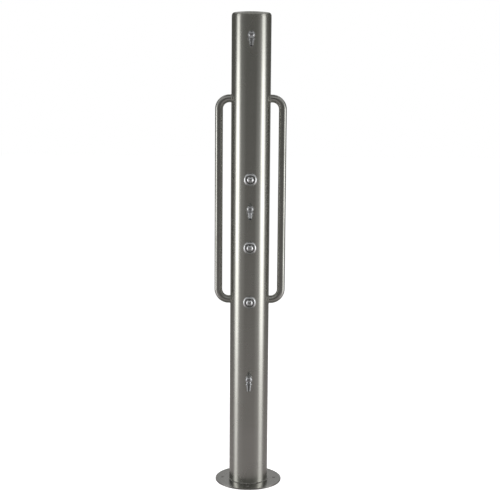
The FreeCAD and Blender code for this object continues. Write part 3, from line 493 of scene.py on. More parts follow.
def aim(mesh: bmesh.types.BMesh, origin: Vector, direction: Vector) -> bmesh.types.BMesh:
    """Moves a mesh that runs up from the origin, so that it runs along a direction from a point.

    Args:
        mesh: the mesh, which is changed.
        origin: where its origin goes, in millimetres.
        direction: where its +Z goes.

    Returns:
        The same mesh.
    """
    turn = UP.rotation_difference(direction.normalized()).to_matrix().to_4x4()
    mesh.transform(Matrix.Translation(origin * MM) @ turn)
    return mesh


def sweep(path: Sequence[Vector], radius: float, sides: int, flat_axis: Vector) -> bmesh.types.BMesh:
    """Runs a round section along a path that lies in one plane, and caps its ends.

    The mesh gets two point attributes: along, the path's direction, and reach, the distance along it in metres.

    Args:
        path: the path's points, in millimetres.
        radius: the section's radius, in millimetres.
        sides: how many sides the section has.
        flat_axis: the normal of the path's plane.

    Returns:
        The mesh, in metres.
    """
    mesh = bmesh.new()
    along = mesh.verts.layers.float_vector.new("along")
    reach = mesh.verts.layers.float.new("reach")
    rings = []
    distance = 0.0
    for i, point in enumerate(path):
        before = path[max(i - 1, 0)]
        after = path[min(i + 1, len(path) - 1)]
        distance += (point - before).length
        heading = (after - before).normalized()
        side = heading.cross(flat_axis).normalized()
        ring = []
        for k in range(sides):
            a = 2 * math.pi * k / sides
            vert = mesh.verts.new((point + (side * math.cos(a) + flat_axis * math.sin(a)) * radius) * MM)
            vert[along] = heading
            vert[reach] = distance * MM
            ring.append(vert)
        rings.append(ring)
    for low, high in zip(rings, rings[1:]):
        for k in range(sides):
            mesh.faces.new([low[k], low[(k + 1) % sides], high[(k + 1) % sides], high[k]])
    mesh.faces.new(rings[0])
    mesh.faces.new(rings[-1])
    bmesh.ops.recalc_face_normals(mesh, faces=mesh.faces)
    return mesh


def rounded_block(width: float, low: float, high: float, corner: float, depth: float,
                  steps: int = 12) -> bmesh.types.BMesh:
    """Makes a block with rounded upright corners in its outline, seen along Y.

    Args:
        width: its size along X.
        low: its lower end.
        high: its upper end.
        corner: the radius of the outline's corners.
        depth: how far it reaches along +Y from the axis.
        steps: how many straight lengths each corner has.

    Returns:
        The mesh, in metres.
    """
    mesh = bmesh.new()
    outline: list[Point] = []
    for cx, cz, start in ((width / 2 - corner, high - corner, 0), (corner - width / 2, high - corner, 90),
                          (corner - width / 2, low + corner, 180), (width / 2 - corner, low + corner, 270)):
        outline += arc((cx, cz), corner, start, start + 90, steps)
    near = [mesh.verts.new((x * MM, 0.0, z * MM)) for x, z in outline]
    far = [mesh.verts.new((x * MM, depth * MM, z * MM)) for x, z in outline]
    mesh.faces.new(near)
    mesh.faces.new(far)
    for k in range(len(outline)):
        after = (k + 1) % len(outline)
        mesh.faces.new([near[k], near[after], far[after], far[k]])
    bmesh.ops.recalc_face_normals(mesh, faces=mesh.faces)
    return mesh


def to_object(name: str, mesh: bmesh.types.BMesh) -> bpy.types.Object:
    """Puts a mesh in the scene as an object at the origin.

    Args:
        name: the object's name.
        mesh: the mesh, which is freed.

    Returns:
        The object.
    """
    data = bpy.data.meshes.new(name)
    mesh.to_mesh(data)
    mesh.free()
    made = bpy.data.objects.new(name, data)
    bpy.context.scene.collection.objects.link(made)
    return made


def turned(name: str, profile: Sequence[Point], segments: int, origin: Vector, direction: Vector) -> bpy.types.Object:
    """Turns a profile into an object that runs along a direction from a point.

    Args:
        name: the object's name.
        profile: radius and height of each point, in millimetres.
        segments: how many sides the turned shape has.
        origin: where the profile's origin goes, in millimetres.
        direction: which way its heights run.

    Returns:
        The object.
    """
    return to_object(name, aim(lathe(profile, segments), origin, direction))


def flatten(obj: bpy.types.Object) -> bpy.types.Object:
    """Turns an object and its modifiers into a plain mesh.

    Args:
        obj: the object, whose modifiers are removed.

    Returns:
        The same object.
    """
    depsgraph = bpy.context.evaluated_depsgraph_get()
    result = bpy.data.meshes.new_from_object(obj.evaluated_get(depsgraph), depsgraph=depsgraph)
    obj.modifiers.clear()
    old = obj.data
    obj.data = result
    bpy.data.meshes.remove(old)
    result.name = obj.name
    return obj


class Cut(Enum):
    """What a cutter does to a piece, by the name of the Boolean operation."""

    REMOVE = "DIFFERENCE"
    KEEP_SHARED = "INTERSECT"


def carve_with(obj: bpy.types.Object, cutter: bpy.types.Object, kind: Cut = Cut.REMOVE) -> None:
    """Cuts an object with another, or keeps only what they share.

    Args:
        obj: the object, which is changed.
        cutter: the other object, which is used up.
        kind: which of the two it does.
    """
    cut = obj.modifiers.new("cut", "BOOLEAN")
    cut.operation = kind.value
    cut.solver = "EXACT"
    cut.object = cutter
    flatten(obj)
    bpy.data.objects.remove(cutter)


def carve(obj: bpy.types.Object, tool: bmesh.types.BMesh, kind: Cut = Cut.REMOVE) -> None:
    """Cuts an object with a mesh, or keeps only what they share.

    Args:
        obj: the object, which is changed.
        tool: the cutting mesh, which is used up.
        kind: which of the two it does.
    """
    carve_with(obj, to_object("cutter", tool), kind)


def hollow_back(obj: bpy.types.Object, face: float, height: float, reach: float) -> None:
    """Hollows the back of a piece on the column's front to the curve of the gasket behind it.

    Args:
        obj: the piece, which is changed.
        face: the radius of the gasket's outer face.
        height: the piece's height on the column.
        reach: how far above and below that the cut goes.
    """
    low, high = height - reach, height + reach
    carve(obj, lathe([(0, low), (face, low), (face, high), (0, high)], CASING_SEGMENTS))


def joined(name: str, parts: Sequence[bpy.types.Object]) -> bpy.types.Object:
    """Makes one object of several, and keeps their shading.

    Args:
        name: the new object's name.
        parts: the objects, which are used up.

    Returns:
        The object.
    """
    mesh = bmesh.new()
    for part in parts:
        mesh.from_mesh(part.data)
        bpy.data.objects.remove(part)
    return to_object(name, mesh)


def smooth(obj: bpy.types.Object, sharp_over: float = 32.0) -> None:
    """Shades an object smooth, but keeps the edges that turn by more than an angle in degrees."""
    obj.data.shade_smooth()
    obj.data.set_sharp_from_angle(angle=math.radians(sharp_over))


def true_round(obj: bpy.types.Object, least: float = 0.995) -> None:
    """Gives the upright faces that are turned about the column's axis the exact normals of a cylinder.

    Args:
        obj: the object, which is already shaded smooth.
        least: the least cosine between such a face's normal and the radius through it.
    """
    data = obj.data
    normals = [Vector(corner.vector) for corner in data.corner_normals]
    for face in data.polygons:
        middle = Vector((face.center.x, face.center.y, 0.0)).normalized()
        facing = face.normal.dot(middle)
        if abs(facing) < least:
            continue
        for loop in face.loop_indices:
            at = data.vertices[data.loops[loop].vertex_index].co
            normals[loop] = Vector((at.x, at.y, 0.0)).normalized() * math.copysign(1.0, facing)
    data.normals_split_custom_set(normals)


def settle(obj: bpy.types.Object, material: bpy.types.Material, body: str,
           nodes: Sequence[str] = ()) -> bpy.types.Object:
    """Dresses a finished piece and joins it to the frame.

    Args:
        obj: the piece.
        material: its material.
        body: the CAD body that it rides on.
        nodes: the CAD nodes that it stands for.

    Returns:
        The piece.
    """
    obj.data.materials.clear()
    obj.data.materials.append(material)
    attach(obj, body)
    if nodes:
        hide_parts(*nodes)
    log.info("piece %-24s %6d faces, on %s", obj.name, len(obj.data.polygons), body)
    return obj


def around(angle: float) -> Vector:
    """Gives the outward direction at an angle in degrees about the column's axis, from +X."""
    return Vector((math.cos(math.radians(angle)), math.sin(math.radians(angle)), 0.0))


def on_front(distance: float, height: float) -> Vector:
    """Gives the point at a distance in front of the column's axis, at a height."""
    return Vector((0.0, -distance, height))


# ------------------------------------------------------------------------------------------------ repeated pieces
@dataclass(frozen=True)
class Spot:
    """Where one copy of a repeated shape sits: its place in millimetres, which way is up on it, and its heading."""

    place: Vector
    outward: Vector
    heading: Vector


class Repeater:
    """A Geometry Nodes tree that sets one shape at every vertex of a mesh, turned by that vertex's attributes."""

    def __init__(self) -> None:
        """Builds the tree."""
        tree = bpy.data.node_groups.new("repeat_on_points", "GeometryNodeTree")
        self.tree = tree
        tree.interface.new_socket("Geometry", in_out="OUTPUT", socket_type="NodeSocketGeometry")
        self.sockets = {
            name: tree.interface.new_socket(name, in_out="INPUT", socket_type="NodeSocket" + kind)
            for name, kind in (("Geometry", "Geometry"), ("Shape", "Object"), ("Size", "Vector"),
                               ("Size variation", "Float"), ("Seed", "Int"), ("Finish", "Material"))
        }
        given = add_node(tree, "NodeGroupInput").outputs
        shape = add_node(tree, "GeometryNodeObjectInfo", {"Object": given["Shape"]})
        outward = add_node(tree, "GeometryNodeInputNamedAttribute", {"Name": "outward"}, data_type="FLOAT_VECTOR")
        heading = add_node(tree, "GeometryNodeInputNamedAttribute", {"Name": "heading"}, data_type="FLOAT_VECTOR")
        turn = add_node(tree, "FunctionNodeAxesToRotation", {0: outward.outputs["Attribute"],
                                                             1: heading.outputs["Attribute"]},
                        primary_axis="Z", secondary_axis="X")
        less = add_node(tree, "ShaderNodeMath", {0: 1.0, 1: given["Size variation"]}, operation="SUBTRACT")
        more = add_node(tree, "ShaderNodeMath", {0: 1.0, 1: given["Size variation"]}, operation="ADD")
        vary = add_node(tree, "FunctionNodeRandomValue", {2: less.outputs[0], 3: more.outputs[0],
                                                          "Seed": given["Seed"]}, data_type="FLOAT")
        size = add_node(tree, "ShaderNodeVectorMath", {0: given["Size"], "Scale": vary.outputs[1]}, operation="SCALE")
        copies = add_node(tree, "GeometryNodeInstanceOnPoints",
                          {"Points": given["Geometry"], "Instance": shape.outputs["Geometry"],
                           "Rotation": turn.outputs["Rotation"], "Scale": size.outputs["Vector"]})
        real = add_node(tree, "GeometryNodeRealizeInstances", {"Geometry": copies.outputs["Instances"]})
        dressed = add_node(tree, "GeometryNodeSetMaterial", {"Geometry": real.outputs["Geometry"],
                                                             "Material": given["Finish"]})
        add_node(tree, "NodeGroupOutput", {"Geometry": dressed.outputs["Geometry"]})

    def run(self, name: str, shape: bpy.types.Object, spots: Sequence[Spot], material: bpy.types.Material,
            size: Scale = (1.0, 1.0, 1.0), variation: float = 0.0, seed: int = 1) -> bpy.types.Object:
        """Makes one object of many copies.

        Args:
            name: the object's name.
            shape: the shape that is repeated, which is used up.
            spots: where the copies go.
            material: their material.
            size: a scale for each of the shape's axes.
            variation: how much a copy's size may differ, as a share.
            seed: the seed of that difference.

        Returns:
            The object, as a plain mesh.
        """
        points = bmesh.new()
        outward = points.verts.layers.float_vector.new("outward")
        heading = points.verts.layers.float_vector.new("heading")
        for spot in spots:
            vert = points.verts.new(spot.place * MM)
            vert[outward] = spot.outward
            vert[heading] = spot.heading
        made = to_object(name, points)
        smooth(shape)
        modifier = made.modifiers.new("repeat", "NODES")
        modifier.node_group = self.tree
        for socket, value in (("Shape", shape), ("Size", size), ("Size variation", variation), ("Seed", seed),
                              ("Finish", material)):
            modifier[self.sockets[socket].identifier] = value
        flatten(made)
        bpy.data.objects.remove(shape)
        return made


# --------------------------------------------------------------------------------------------------- sub-assemblies
@dataclass
class Casing:
    """The round tube with its openings, and the bead that welds it to the flange."""

    radius: float = CASING_RADIUS
    wall: float = CASING_WALL
    bottom: float = 6.0
    top: float = 2022.0
    edge: float = 1.2
    segments: int = CASING_SEGMENTS
    hatch_width: float = 104.0
    hatch_low: float = 150.0
    hatch_high: float = 450.0
    hatch_corner: float = 20.0
    neck_hole: float = 17.5
    spigot_hole: float = 10.9
    weld_pitch: float = 1.7
    weld_rise: float = 0.3
    weld_size: Scale = (1.3, 2.2, 1.5)
    weld_variation: float = 0.07
    weld_seed: int = 3

    def build(self, valve_heights: Sequence[float], head_heights: Sequence[float], steel: bpy.types.Material,
              weld: bpy.types.Material, repeater: Repeater) -> None:
        """Makes the tube and the bead.

        Args:
            valve_heights: the heights of the valves.
            head_heights: the heights of the spray heads.
            steel: the tube's material.
            weld: the bead's material.
            repeater: what sets the bead's scales.
        """
        inner = self.radius - self.wall
        profile = rounded([(inner, self.bottom, 0), (self.radius, self.bottom, 0), (self.radius, self.top, self.edge),
                           (inner, self.top, self.edge)])
        tube = to_object("column_casing", lathe(profile, self.segments))
        carve(tube, rounded_block(self.hatch_width, self.hatch_low, self.hatch_high, self.hatch_corner,
                                  self.radius + CUT_PAST))
        for z, hole in [(z, self.neck_hole) for z in valve_heights] + [(z, self.spigot_hole) for z in head_heights]:
            drill = lathe([(0, 0), (hole, 0), (hole, 2 * CUT_PAST), (0, 2 * CUT_PAST)], SMALL_SEGMENTS)
            carve(tube, aim(drill, on_front(self.radius - CUT_PAST, z), OUT))
        smooth(tube)
        true_round(tube)
        settle(tube, steel, ROOT_BODY, ["column_tube"])
        self.weld_foot(weld, repeater)

    def weld_foot(self, weld: bpy.types.Material, repeater: Repeater) -> None:
        """Lays the bead round the tube's foot.

        Args:
            weld: the bead's material.
            repeater: what sets its scales.
        """
        count = round(2 * math.pi * self.radius / self.weld_pitch)
        spots = []
        for k in range(count):
            out = around(360.0 * k / count)
            place = out * (self.radius + self.weld_rise) + UP * (self.bottom + self.weld_rise)
            spots.append(Spot(place, out + UP, UP.cross(out)))
        bead = repeater.run("foot_weld", weld_scale(), spots, weld, self.weld_size, self.weld_variation,
                            self.weld_seed)
        settle(bead, weld, ROOT_BODY)


def weld_scale(segments: int = 10, rings: int = 7, tilt: float = 14.0) -> bpy.types.Object:
    """Makes one scale of a weld bead: a ball of unit radius, tilted forwards, to be stretched into a dome.

    Args:
        segments: how many sides the ball has round its axis.
        rings: how many bands it has from pole to pole.
        tilt: how far it leans, in degrees.

    Returns:
        The scale.
    """
    ball = bmesh.new()
    bmesh.ops.create_uvsphere(ball, u_segments=segments, v_segments=rings, radius=MM)
    ball.transform(Matrix.Rotation(math.radians(tilt), 4, "Y"))
    return to_object("weld_scale", ball)


def fix_screws(name: str, node: str, head: float, places: Sequence[tuple[float, float]],
               steel: bpy.types.Material, repeater: Repeater) -> None:
    """Sets pinned screws on the casing's wall.

    Args:
        name: the piece's name.
        node: the CAD node that it stands for.
        head: the screws' head diameter.
        places: the angle about the axis, in degrees, and the height of each.
        steel: their material.
        repeater: what sets them.
    """
    spots = [Spot(around(angle) * (CASING_RADIUS + SEAT_GAP) + UP * height, around(angle), UP)
             for angle, height in places]
    screws = repeater.run(name, pinned_screw(head), spots, steel)
    settle(screws, steel, ROOT_BODY, [node])


@dataclass
class Cap:
    """The turned lid that closes the casing, and the pinned screws that hold it."""

    radius: float = CASING_RADIUS
    base: float = 2023.0
    top: float = 2040.0
    edge_radius: float = 9.0
    crown: float = 1.5
    wall: float = 3.0
    spigot_radius: float = 82.05
    spigot_length: float = 28.0
    seam_edge: float = 1.2
    edge_height: float = 14.3
    screw_height: float = 2009.0
    screw_angles: tuple[float, ...] = (30.0, 90.0, 150.0)
    screw_head: float = 9.5
    under_edge: float = 6.0
    spigot_edge: float = 0.5
    edge_steps: int = 14
    crown_steps: int = 8
    segments: int = CASING_SEGMENTS

    def build(self, steel: bpy.types.Material, screw_steel: bpy.types.Material, repeater: Repeater) -> None:
        """Makes the lid and its screws.

        Args:
            steel: the lid's material.
            screw_steel: the screws' material.
            repeater: what sets the screws.
        """
        rim = self.radius - self.edge_radius
        rim_top = self.top - self.crown
        inside = self.spigot_radius - self.wall
        under = rim_top - self.wall
        foot = self.base - self.spigot_length
        below = rounded([(0, under, 0), (inside, under, self.under_edge), (inside, foot, 0),
                         (self.spigot_radius, foot, self.spigot_edge), (self.spigot_radius, self.base, 0),
                         (self.radius, self.base, self.seam_edge), (self.radius, rim_top - self.edge_height, 0)],
                        closed=False)
        stretch = self.edge_height / self.edge_radius
        edge = [(r, rim_top - self.edge_height + z * stretch)
                for r, z in arc((rim, 0), self.edge_radius, 0, 90, self.edge_steps)[1:]]
        dome = (rim ** 2 + self.crown ** 2) / (2 * self.crown)
        crown = [(r, self.top - dome + math.sqrt(dome ** 2 - r ** 2))
                 for r in (rim * (1 - k / self.crown_steps) for k in range(1, self.crown_steps + 1))]
        lid = to_object("column_cap", lathe(below + edge + crown, self.segments))
        smooth(lid)
        settle(lid, steel, ROOT_BODY, ["top_cap"])
        fix_screws("cap_fixing_screws", "cap_screws", self.screw_head,
                   [(a, self.screw_height) for a in self.screw_angles], screw_steel, repeater)


@dataclass
class Hatch:
    """The service cover at the back, cut from the same tube, and its pinned screws."""

    radius: float = CASING_RADIUS
    wall: float = CASING_WALL
    width: float = 102.0
    low: float = 151.0
    high: float = 449.0
    corner: float = 19.0
    screw_angles: tuple[float, ...] = (58.1, 121.9)
    screw_heights: tuple[float, ...] = (159.5, 300.0, 440.5)
    screw_head: float = 8.0
    band_past: float = 5.0
    segments: int = CASING_SEGMENTS

    def build(self, steel: bpy.types.Material, screw_steel: bpy.types.Material, repeater: Repeater) -> None:
        """Makes the cover and its screws.

        Args:
            steel: the cover's material.
            screw_steel: the screws' material.
            repeater: what sets the screws.
        """
        inner = self.radius - self.wall
        low, high = self.low - self.band_past, self.high + self.band_past
        cover = to_object("hatch_cover", lathe([(inner, low), (self.radius, low), (self.radius, high), (inner, high)],
                                               self.segments))
        carve(cover, rounded_block(self.width, self.low, self.high, self.corner, self.radius + CUT_PAST),
              Cut.KEEP_SHARED)
        smooth(cover)
        true_round(cover)
        settle(cover, steel, ROOT_BODY, ["access_hatch"])
        fix_screws("hatch_fixing_screws", "hatch_screws", self.screw_head,
                   [(a, z) for a in self.screw_angles for z in self.screw_heights], screw_steel, repeater)


def pinned_screw(head: float, height: float = 2.2, recess: float = 1.3, shank: float = 6.0, shank_share: float = 0.45,
                 key_share: float = 0.23, pin_share: float = 0.07) -> bpy.types.Object:
    """Makes a button-head screw with a hexagonal recess that has a pin in it. It starts under the head.

    Args:
        head: the head's diameter.
        height: the head's height.
        recess: the recess's depth.
        shank: how far the shank runs down.
        shank_share: the shank's diameter, as a share of the head's.
        key_share: half the recess's width across its corners, as a share of the head's diameter.
        pin_share: the pin's radius, as a share of the head's diameter.

    Returns:
        The screw.
    """
    r = head / 2
    profile = rounded([(0, -shank, 0), (r * shank_share, -shank, 0), (r * shank_share, 0, 0), (r, 0, 0.15),
                       (r, 0.6, 0.3), (r * 0.8, height * 0.8, 0.6), (r * 0.5, height, 0.4), (0, height, 0)],
                      closed=False)
    screw = to_object("screw", lathe(profile, SMALL_SEGMENTS))
    floor = UP * (height - recess)
    key = lathe([(0, 0), (head * key_share, 0), (head * key_share, recess + 1), (0, recess + 1)], 6)
    carve(screw, aim(key, floor, UP))
    pin = rounded([(0, -0.3, 0), (head * pin_share, -0.3, 0), (head * pin_share, recess - 0.1, 0.15),
                   (0, recess - 0.1, 0)], closed=False)
    stud = turned("pin", pin, 16, floor, UP)
    return joined("pinned_screw", [screw, stud])


@dataclass
class GrabRail:
    """A bent tube with an arm at each end, and the beads that weld its arms to the casing."""

    casing_radius: float = CASING_RADIUS
    axis: float = 136.0
    radius: float = 16.85
    low: float = 815.0
    high: float = 1682.0
    bend_radius: float = 45.0
    end: float = 82.3
    bend_steps: int = 28
    sides: int = 72
    weld_pitch: float = 1.5
    weld_size: Scale = (1.1, 1.7, 1.1)
    weld_variation: float = 0.08
    weld_seed: int = 11

    def build(self, side: int, name: str, node: str, steel: bpy.types.Material, weld: bpy.types.Material,
              repeater: Repeater) -> None:
        """Makes one rail.

        Args:
            side: 1 or -1, along X.
            name: the rail's name.
            node: the CAD node that it stands for.
            steel: the rail's material.
            weld: the beads' material.
            repeater: what sets the beads' scales.
        """
        bend = self.bend_radius
        path = [Vector((self.end, 0, self.low)), Vector((self.axis - bend, 0, self.low))]
        path += self.turn(self.low + bend, -90)
        path.append(Vector((self.axis, 0, self.high - bend)))
        path += self.turn(self.high - bend, 0)
        path.append(Vector((self.end, 0, self.high)))
        placed = [Vector((p.x * side, p.y, p.z)) for p in path]
        rail = to_object(name, sweep(placed, self.radius, self.sides, Vector((0, 1, 0))))
        smooth(rail)
        settle(rail, steel, ROOT_BODY, [node])
        spots = [spot for z in (self.low, self.high) for spot in self.weld_spots(side, z)]
        bead = repeater.run(name + "_weld", weld_scale(), spots, weld, self.weld_size, self.weld_variation,
                            self.weld_seed + side)
        settle(bead, weld, ROOT_BODY)

    def turn(self, centre_height: float, start: float) -> list[Vector]:
        """Gives the points of one bend, past its first, on the +X side.

        Args:
            centre_height: the height of the bend's centre.
            start: the angle that it starts at, in degrees.

        Returns:
            The points.
        """
        centre = Vector((self.axis - self.bend_radius, 0, centre_height))
        angles = [math.radians(start + 90 * k / self.bend_steps) for k in range(1, self.bend_steps + 1)]
        return [centre + Vector((math.cos(a), 0, math.sin(a))) * self.bend_radius for a in angles]

    def weld_spots(self, side: int, height: float) -> list[Spot]:
        """Gives the places of a bead's scales, where an arm meets the casing.

        Args:
            side: 1 or -1, along X.
            height: the arm's height.

        Returns:
            The places.
        """
        count = round(2 * math.pi * self.radius / self.weld_pitch)
        spots = []
        for k in range(count):
            a = 2 * math.pi * k / count
            y = self.radius * math.cos(a)
            x = side * math.sqrt(self.casing_radius ** 2 - y ** 2)
            place = Vector((x, y, height + self.radius * math.sin(a)))
            from_casing = Vector((x, y, 0)).normalized()
            from_rail = Vector((0, math.cos(a), math.sin(a)))
            spots.append(Spot(place, from_casing + from_rail, from_casing.cross(from_rail)))
        return spots


@dataclass
class BaseFlange:
    """The round plate under the column, with its anchor holes and the opening for the supply."""

    radius: float = 145.15
    opening: float = 60.15
    thickness: float = 6.0
    chamfer: float = 0.8
    hole: float = 6.0
    hole_circle: float = 114.65
    holes: int = 4
    countersink: float = 0.5
    countersink_reach: float = 1.2
    segments: int = CASING_SEGMENTS

    def build(self, steel: bpy.types.Material) -> None:
        """Makes the plate.

        Args:
            steel: its material.
        """
        edge = self.radius - self.chamfer
        shoulder = self.thickness - self.chamfer
        profile = rounded([(self.opening, 0, 0.4), (self.radius, 0, 0.3), (self.radius, shoulder, 0.3),
                           (edge, self.thickness, 0.3), (self.opening, self.thickness, 0.5)], steps=2)
        plate = to_object("floor_flange", lathe(profile, self.segments))
        sink = self.thickness - self.countersink
        past = sink + self.countersink_reach
        drill = [(0, -1), (self.hole, -1), (self.hole, sink), (self.hole + self.countersink_reach, past), (0, past)]
        for k in range(self.holes):
            carve(plate, aim(lathe(drill, SMALL_SEGMENTS), around(360.0 * k / self.holes) * self.hole_circle, UP))
        smooth(plate)
        settle(plate, steel, ROOT_BODY, ["base_flange"])


@dataclass
class Valve:
    """A push-button valve: its bevelled rosette, and the domed button that slides in it."""

    name: str
    height: float
    casing_radius: float = CASING_RADIUS
    rosette_radius: float = 28.5
    rosette_face_radius: float = 20.5
    rosette_rim: float = 86.35
    rosette_face: float = 95.15
    rosette_hole: float = 17.1
    gasket_face: float = GASKET_FACE
    button_radius: float = 15.0
    button_wall: float = 2.4
    button_face: float = 106.15
    button_crown: float = 9.4
    button_edge: float = 1.4
    button_skirt_end: float = 88.15
    stem_radius: float = 3.2
    stem_tip: float = 50.15
    dimple_radius: float = 4.0
    dimple_depth: float = 0.5
    blank_share: float = 0.6
    face_bulge: float = 0.9
    face_drop: float = 0.3
    face_step: float = 0.8
    bulge_steps: int = 14
    corner_steps: int = 8
    dome_steps: int = 18
    dimple_lip: float = 0.5
    dimple_draft: float = 0.6
    segments: int = 128

    def build(self, chrome: bpy.types.Material) -> None:
        """Makes the rosette and the button.

        Args:
            chrome: their material.
        """
        self.build_rosette(chrome)
        self.build_button(chrome)

    def build_rosette(self, chrome: bpy.types.Material) -> None:
        """Turns the rosette and hollows its back to the gasket's curve.

        Args:
            chrome: its material.
        """
        start = self.casing_radius * self.blank_share
        middle = ((self.rosette_radius + self.rosette_face_radius) / 2 + self.face_bulge,
                  (self.rosette_rim + self.rosette_face) / 2 + self.face_bulge)
        bulge = arc_through((self.rosette_radius, self.rosette_rim), middle,
                            (self.rosette_face_radius, self.rosette_face - self.face_drop), self.bulge_steps)
        face = rounded([bulge[-1] + (0,), (self.rosette_face_radius - self.face_step, self.rosette_face, 0.5),
                        (self.rosette_hole, self.rosette_face, 0.45), (self.rosette_hole, start, 0)], closed=False)
        profile = [(self.rosette_radius, start)] + bulge + face[1:]
        rosette = turned("valve_plate_" + self.name, profile, self.segments, on_front(0, self.height), OUT)
        hollow_back(rosette, self.gasket_face, self.height, 2 * self.rosette_radius)
        smooth(rosette)
        settle(rosette, chrome, ROOT_BODY, ["valve_rosette_" + self.name])

    def build_button(self, chrome: bpy.types.Material) -> None:
        """Turns the button with its skirt and stem.

        Args:
            chrome: its material.
        """
        shoulder = self.button_face - self.button_crown
        rim = self.button_radius - self.button_edge
        inside = self.button_radius - self.button_wall
        ball = ((rim ** 2 + self.button_crown ** 2 - self.button_edge ** 2)
                / (2 * (self.button_crown - self.button_edge)))
        centre = self.button_face - ball
        meets = math.degrees(math.atan2(shoulder - centre, rim))
        lower = rounded([(0, self.stem_tip, 0), (self.stem_radius, self.stem_tip, 0.6),
                         (self.stem_radius, shoulder, 2.0), (inside, shoulder, 1.0),
                         (inside, self.button_skirt_end, 0.3), (self.button_radius, self.button_skirt_end, 0.3)],
                        closed=False)
        corner = arc((rim, shoulder), self.button_edge, 0, meets, self.corner_steps)
        start = corner[-1][0]
        first = self.dimple_radius + self.dimple_lip
        dome = [(r, centre + math.sqrt(ball ** 2 - r ** 2))
                for r in (start + (first - start) * k / self.dome_steps for k in range(1, self.dome_steps + 1))]
        floor = dome[-1][1] - self.dimple_depth
        dimple = rounded([dome[-1] + (0,), (self.dimple_radius, dome[-1][1], 0.3),
                          (self.dimple_radius - self.dimple_draft, floor, 0.4), (0, floor, 0)], closed=False)
        profile = lower + corner + dome + dimple[1:]
        button = turned("valve_knob_" + self.name, profile, self.segments, on_front(0, self.height), OUT)
        smooth(button)
        settle(button, chrome, "button_" + self.name, ["push_button_" + self.name])


@dataclass
class ReturnSpring:
    """The coil behind a button. On the valve it shortens as the button is pressed; here it is wound at one length."""

    name: str
    height: float
    seat: float = 69.2
    top: float = 96.7
    travel: float = 8.0
    wire_radius: float = 0.6
    coil_radius: float = 6.5
    turns: int = 7
    steps: int = 24
    sides: int = 8
    sharp_over: float = 60.0

    def build(self, wire: bpy.types.Material) -> None:
        """Winds the coil.

        Args:
            wire: its material.
        """
        low = self.seat + self.wire_radius
        rise = self.top - self.seat - 2 * self.wire_radius
        count = self.turns * self.steps
        path = []
        for k in range(count + 1):
            turn = 2 * math.pi * k / self.steps
            path.append(on_front(low + rise * k / count, self.height)
                        + Vector((math.cos(turn), 0.0, math.sin(turn))) * self.coil_radius)
        coil = to_object("valve_coil_" + self.name, sweep(path, self.wire_radius, self.sides, OUT))
        smooth(coil, self.sharp_over)
        settle(coil, wire, ROOT_BODY, ["button_spring_" + self.name])
        tuple(on_front(self.seat, self.height) * MM)
        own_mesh(coil)


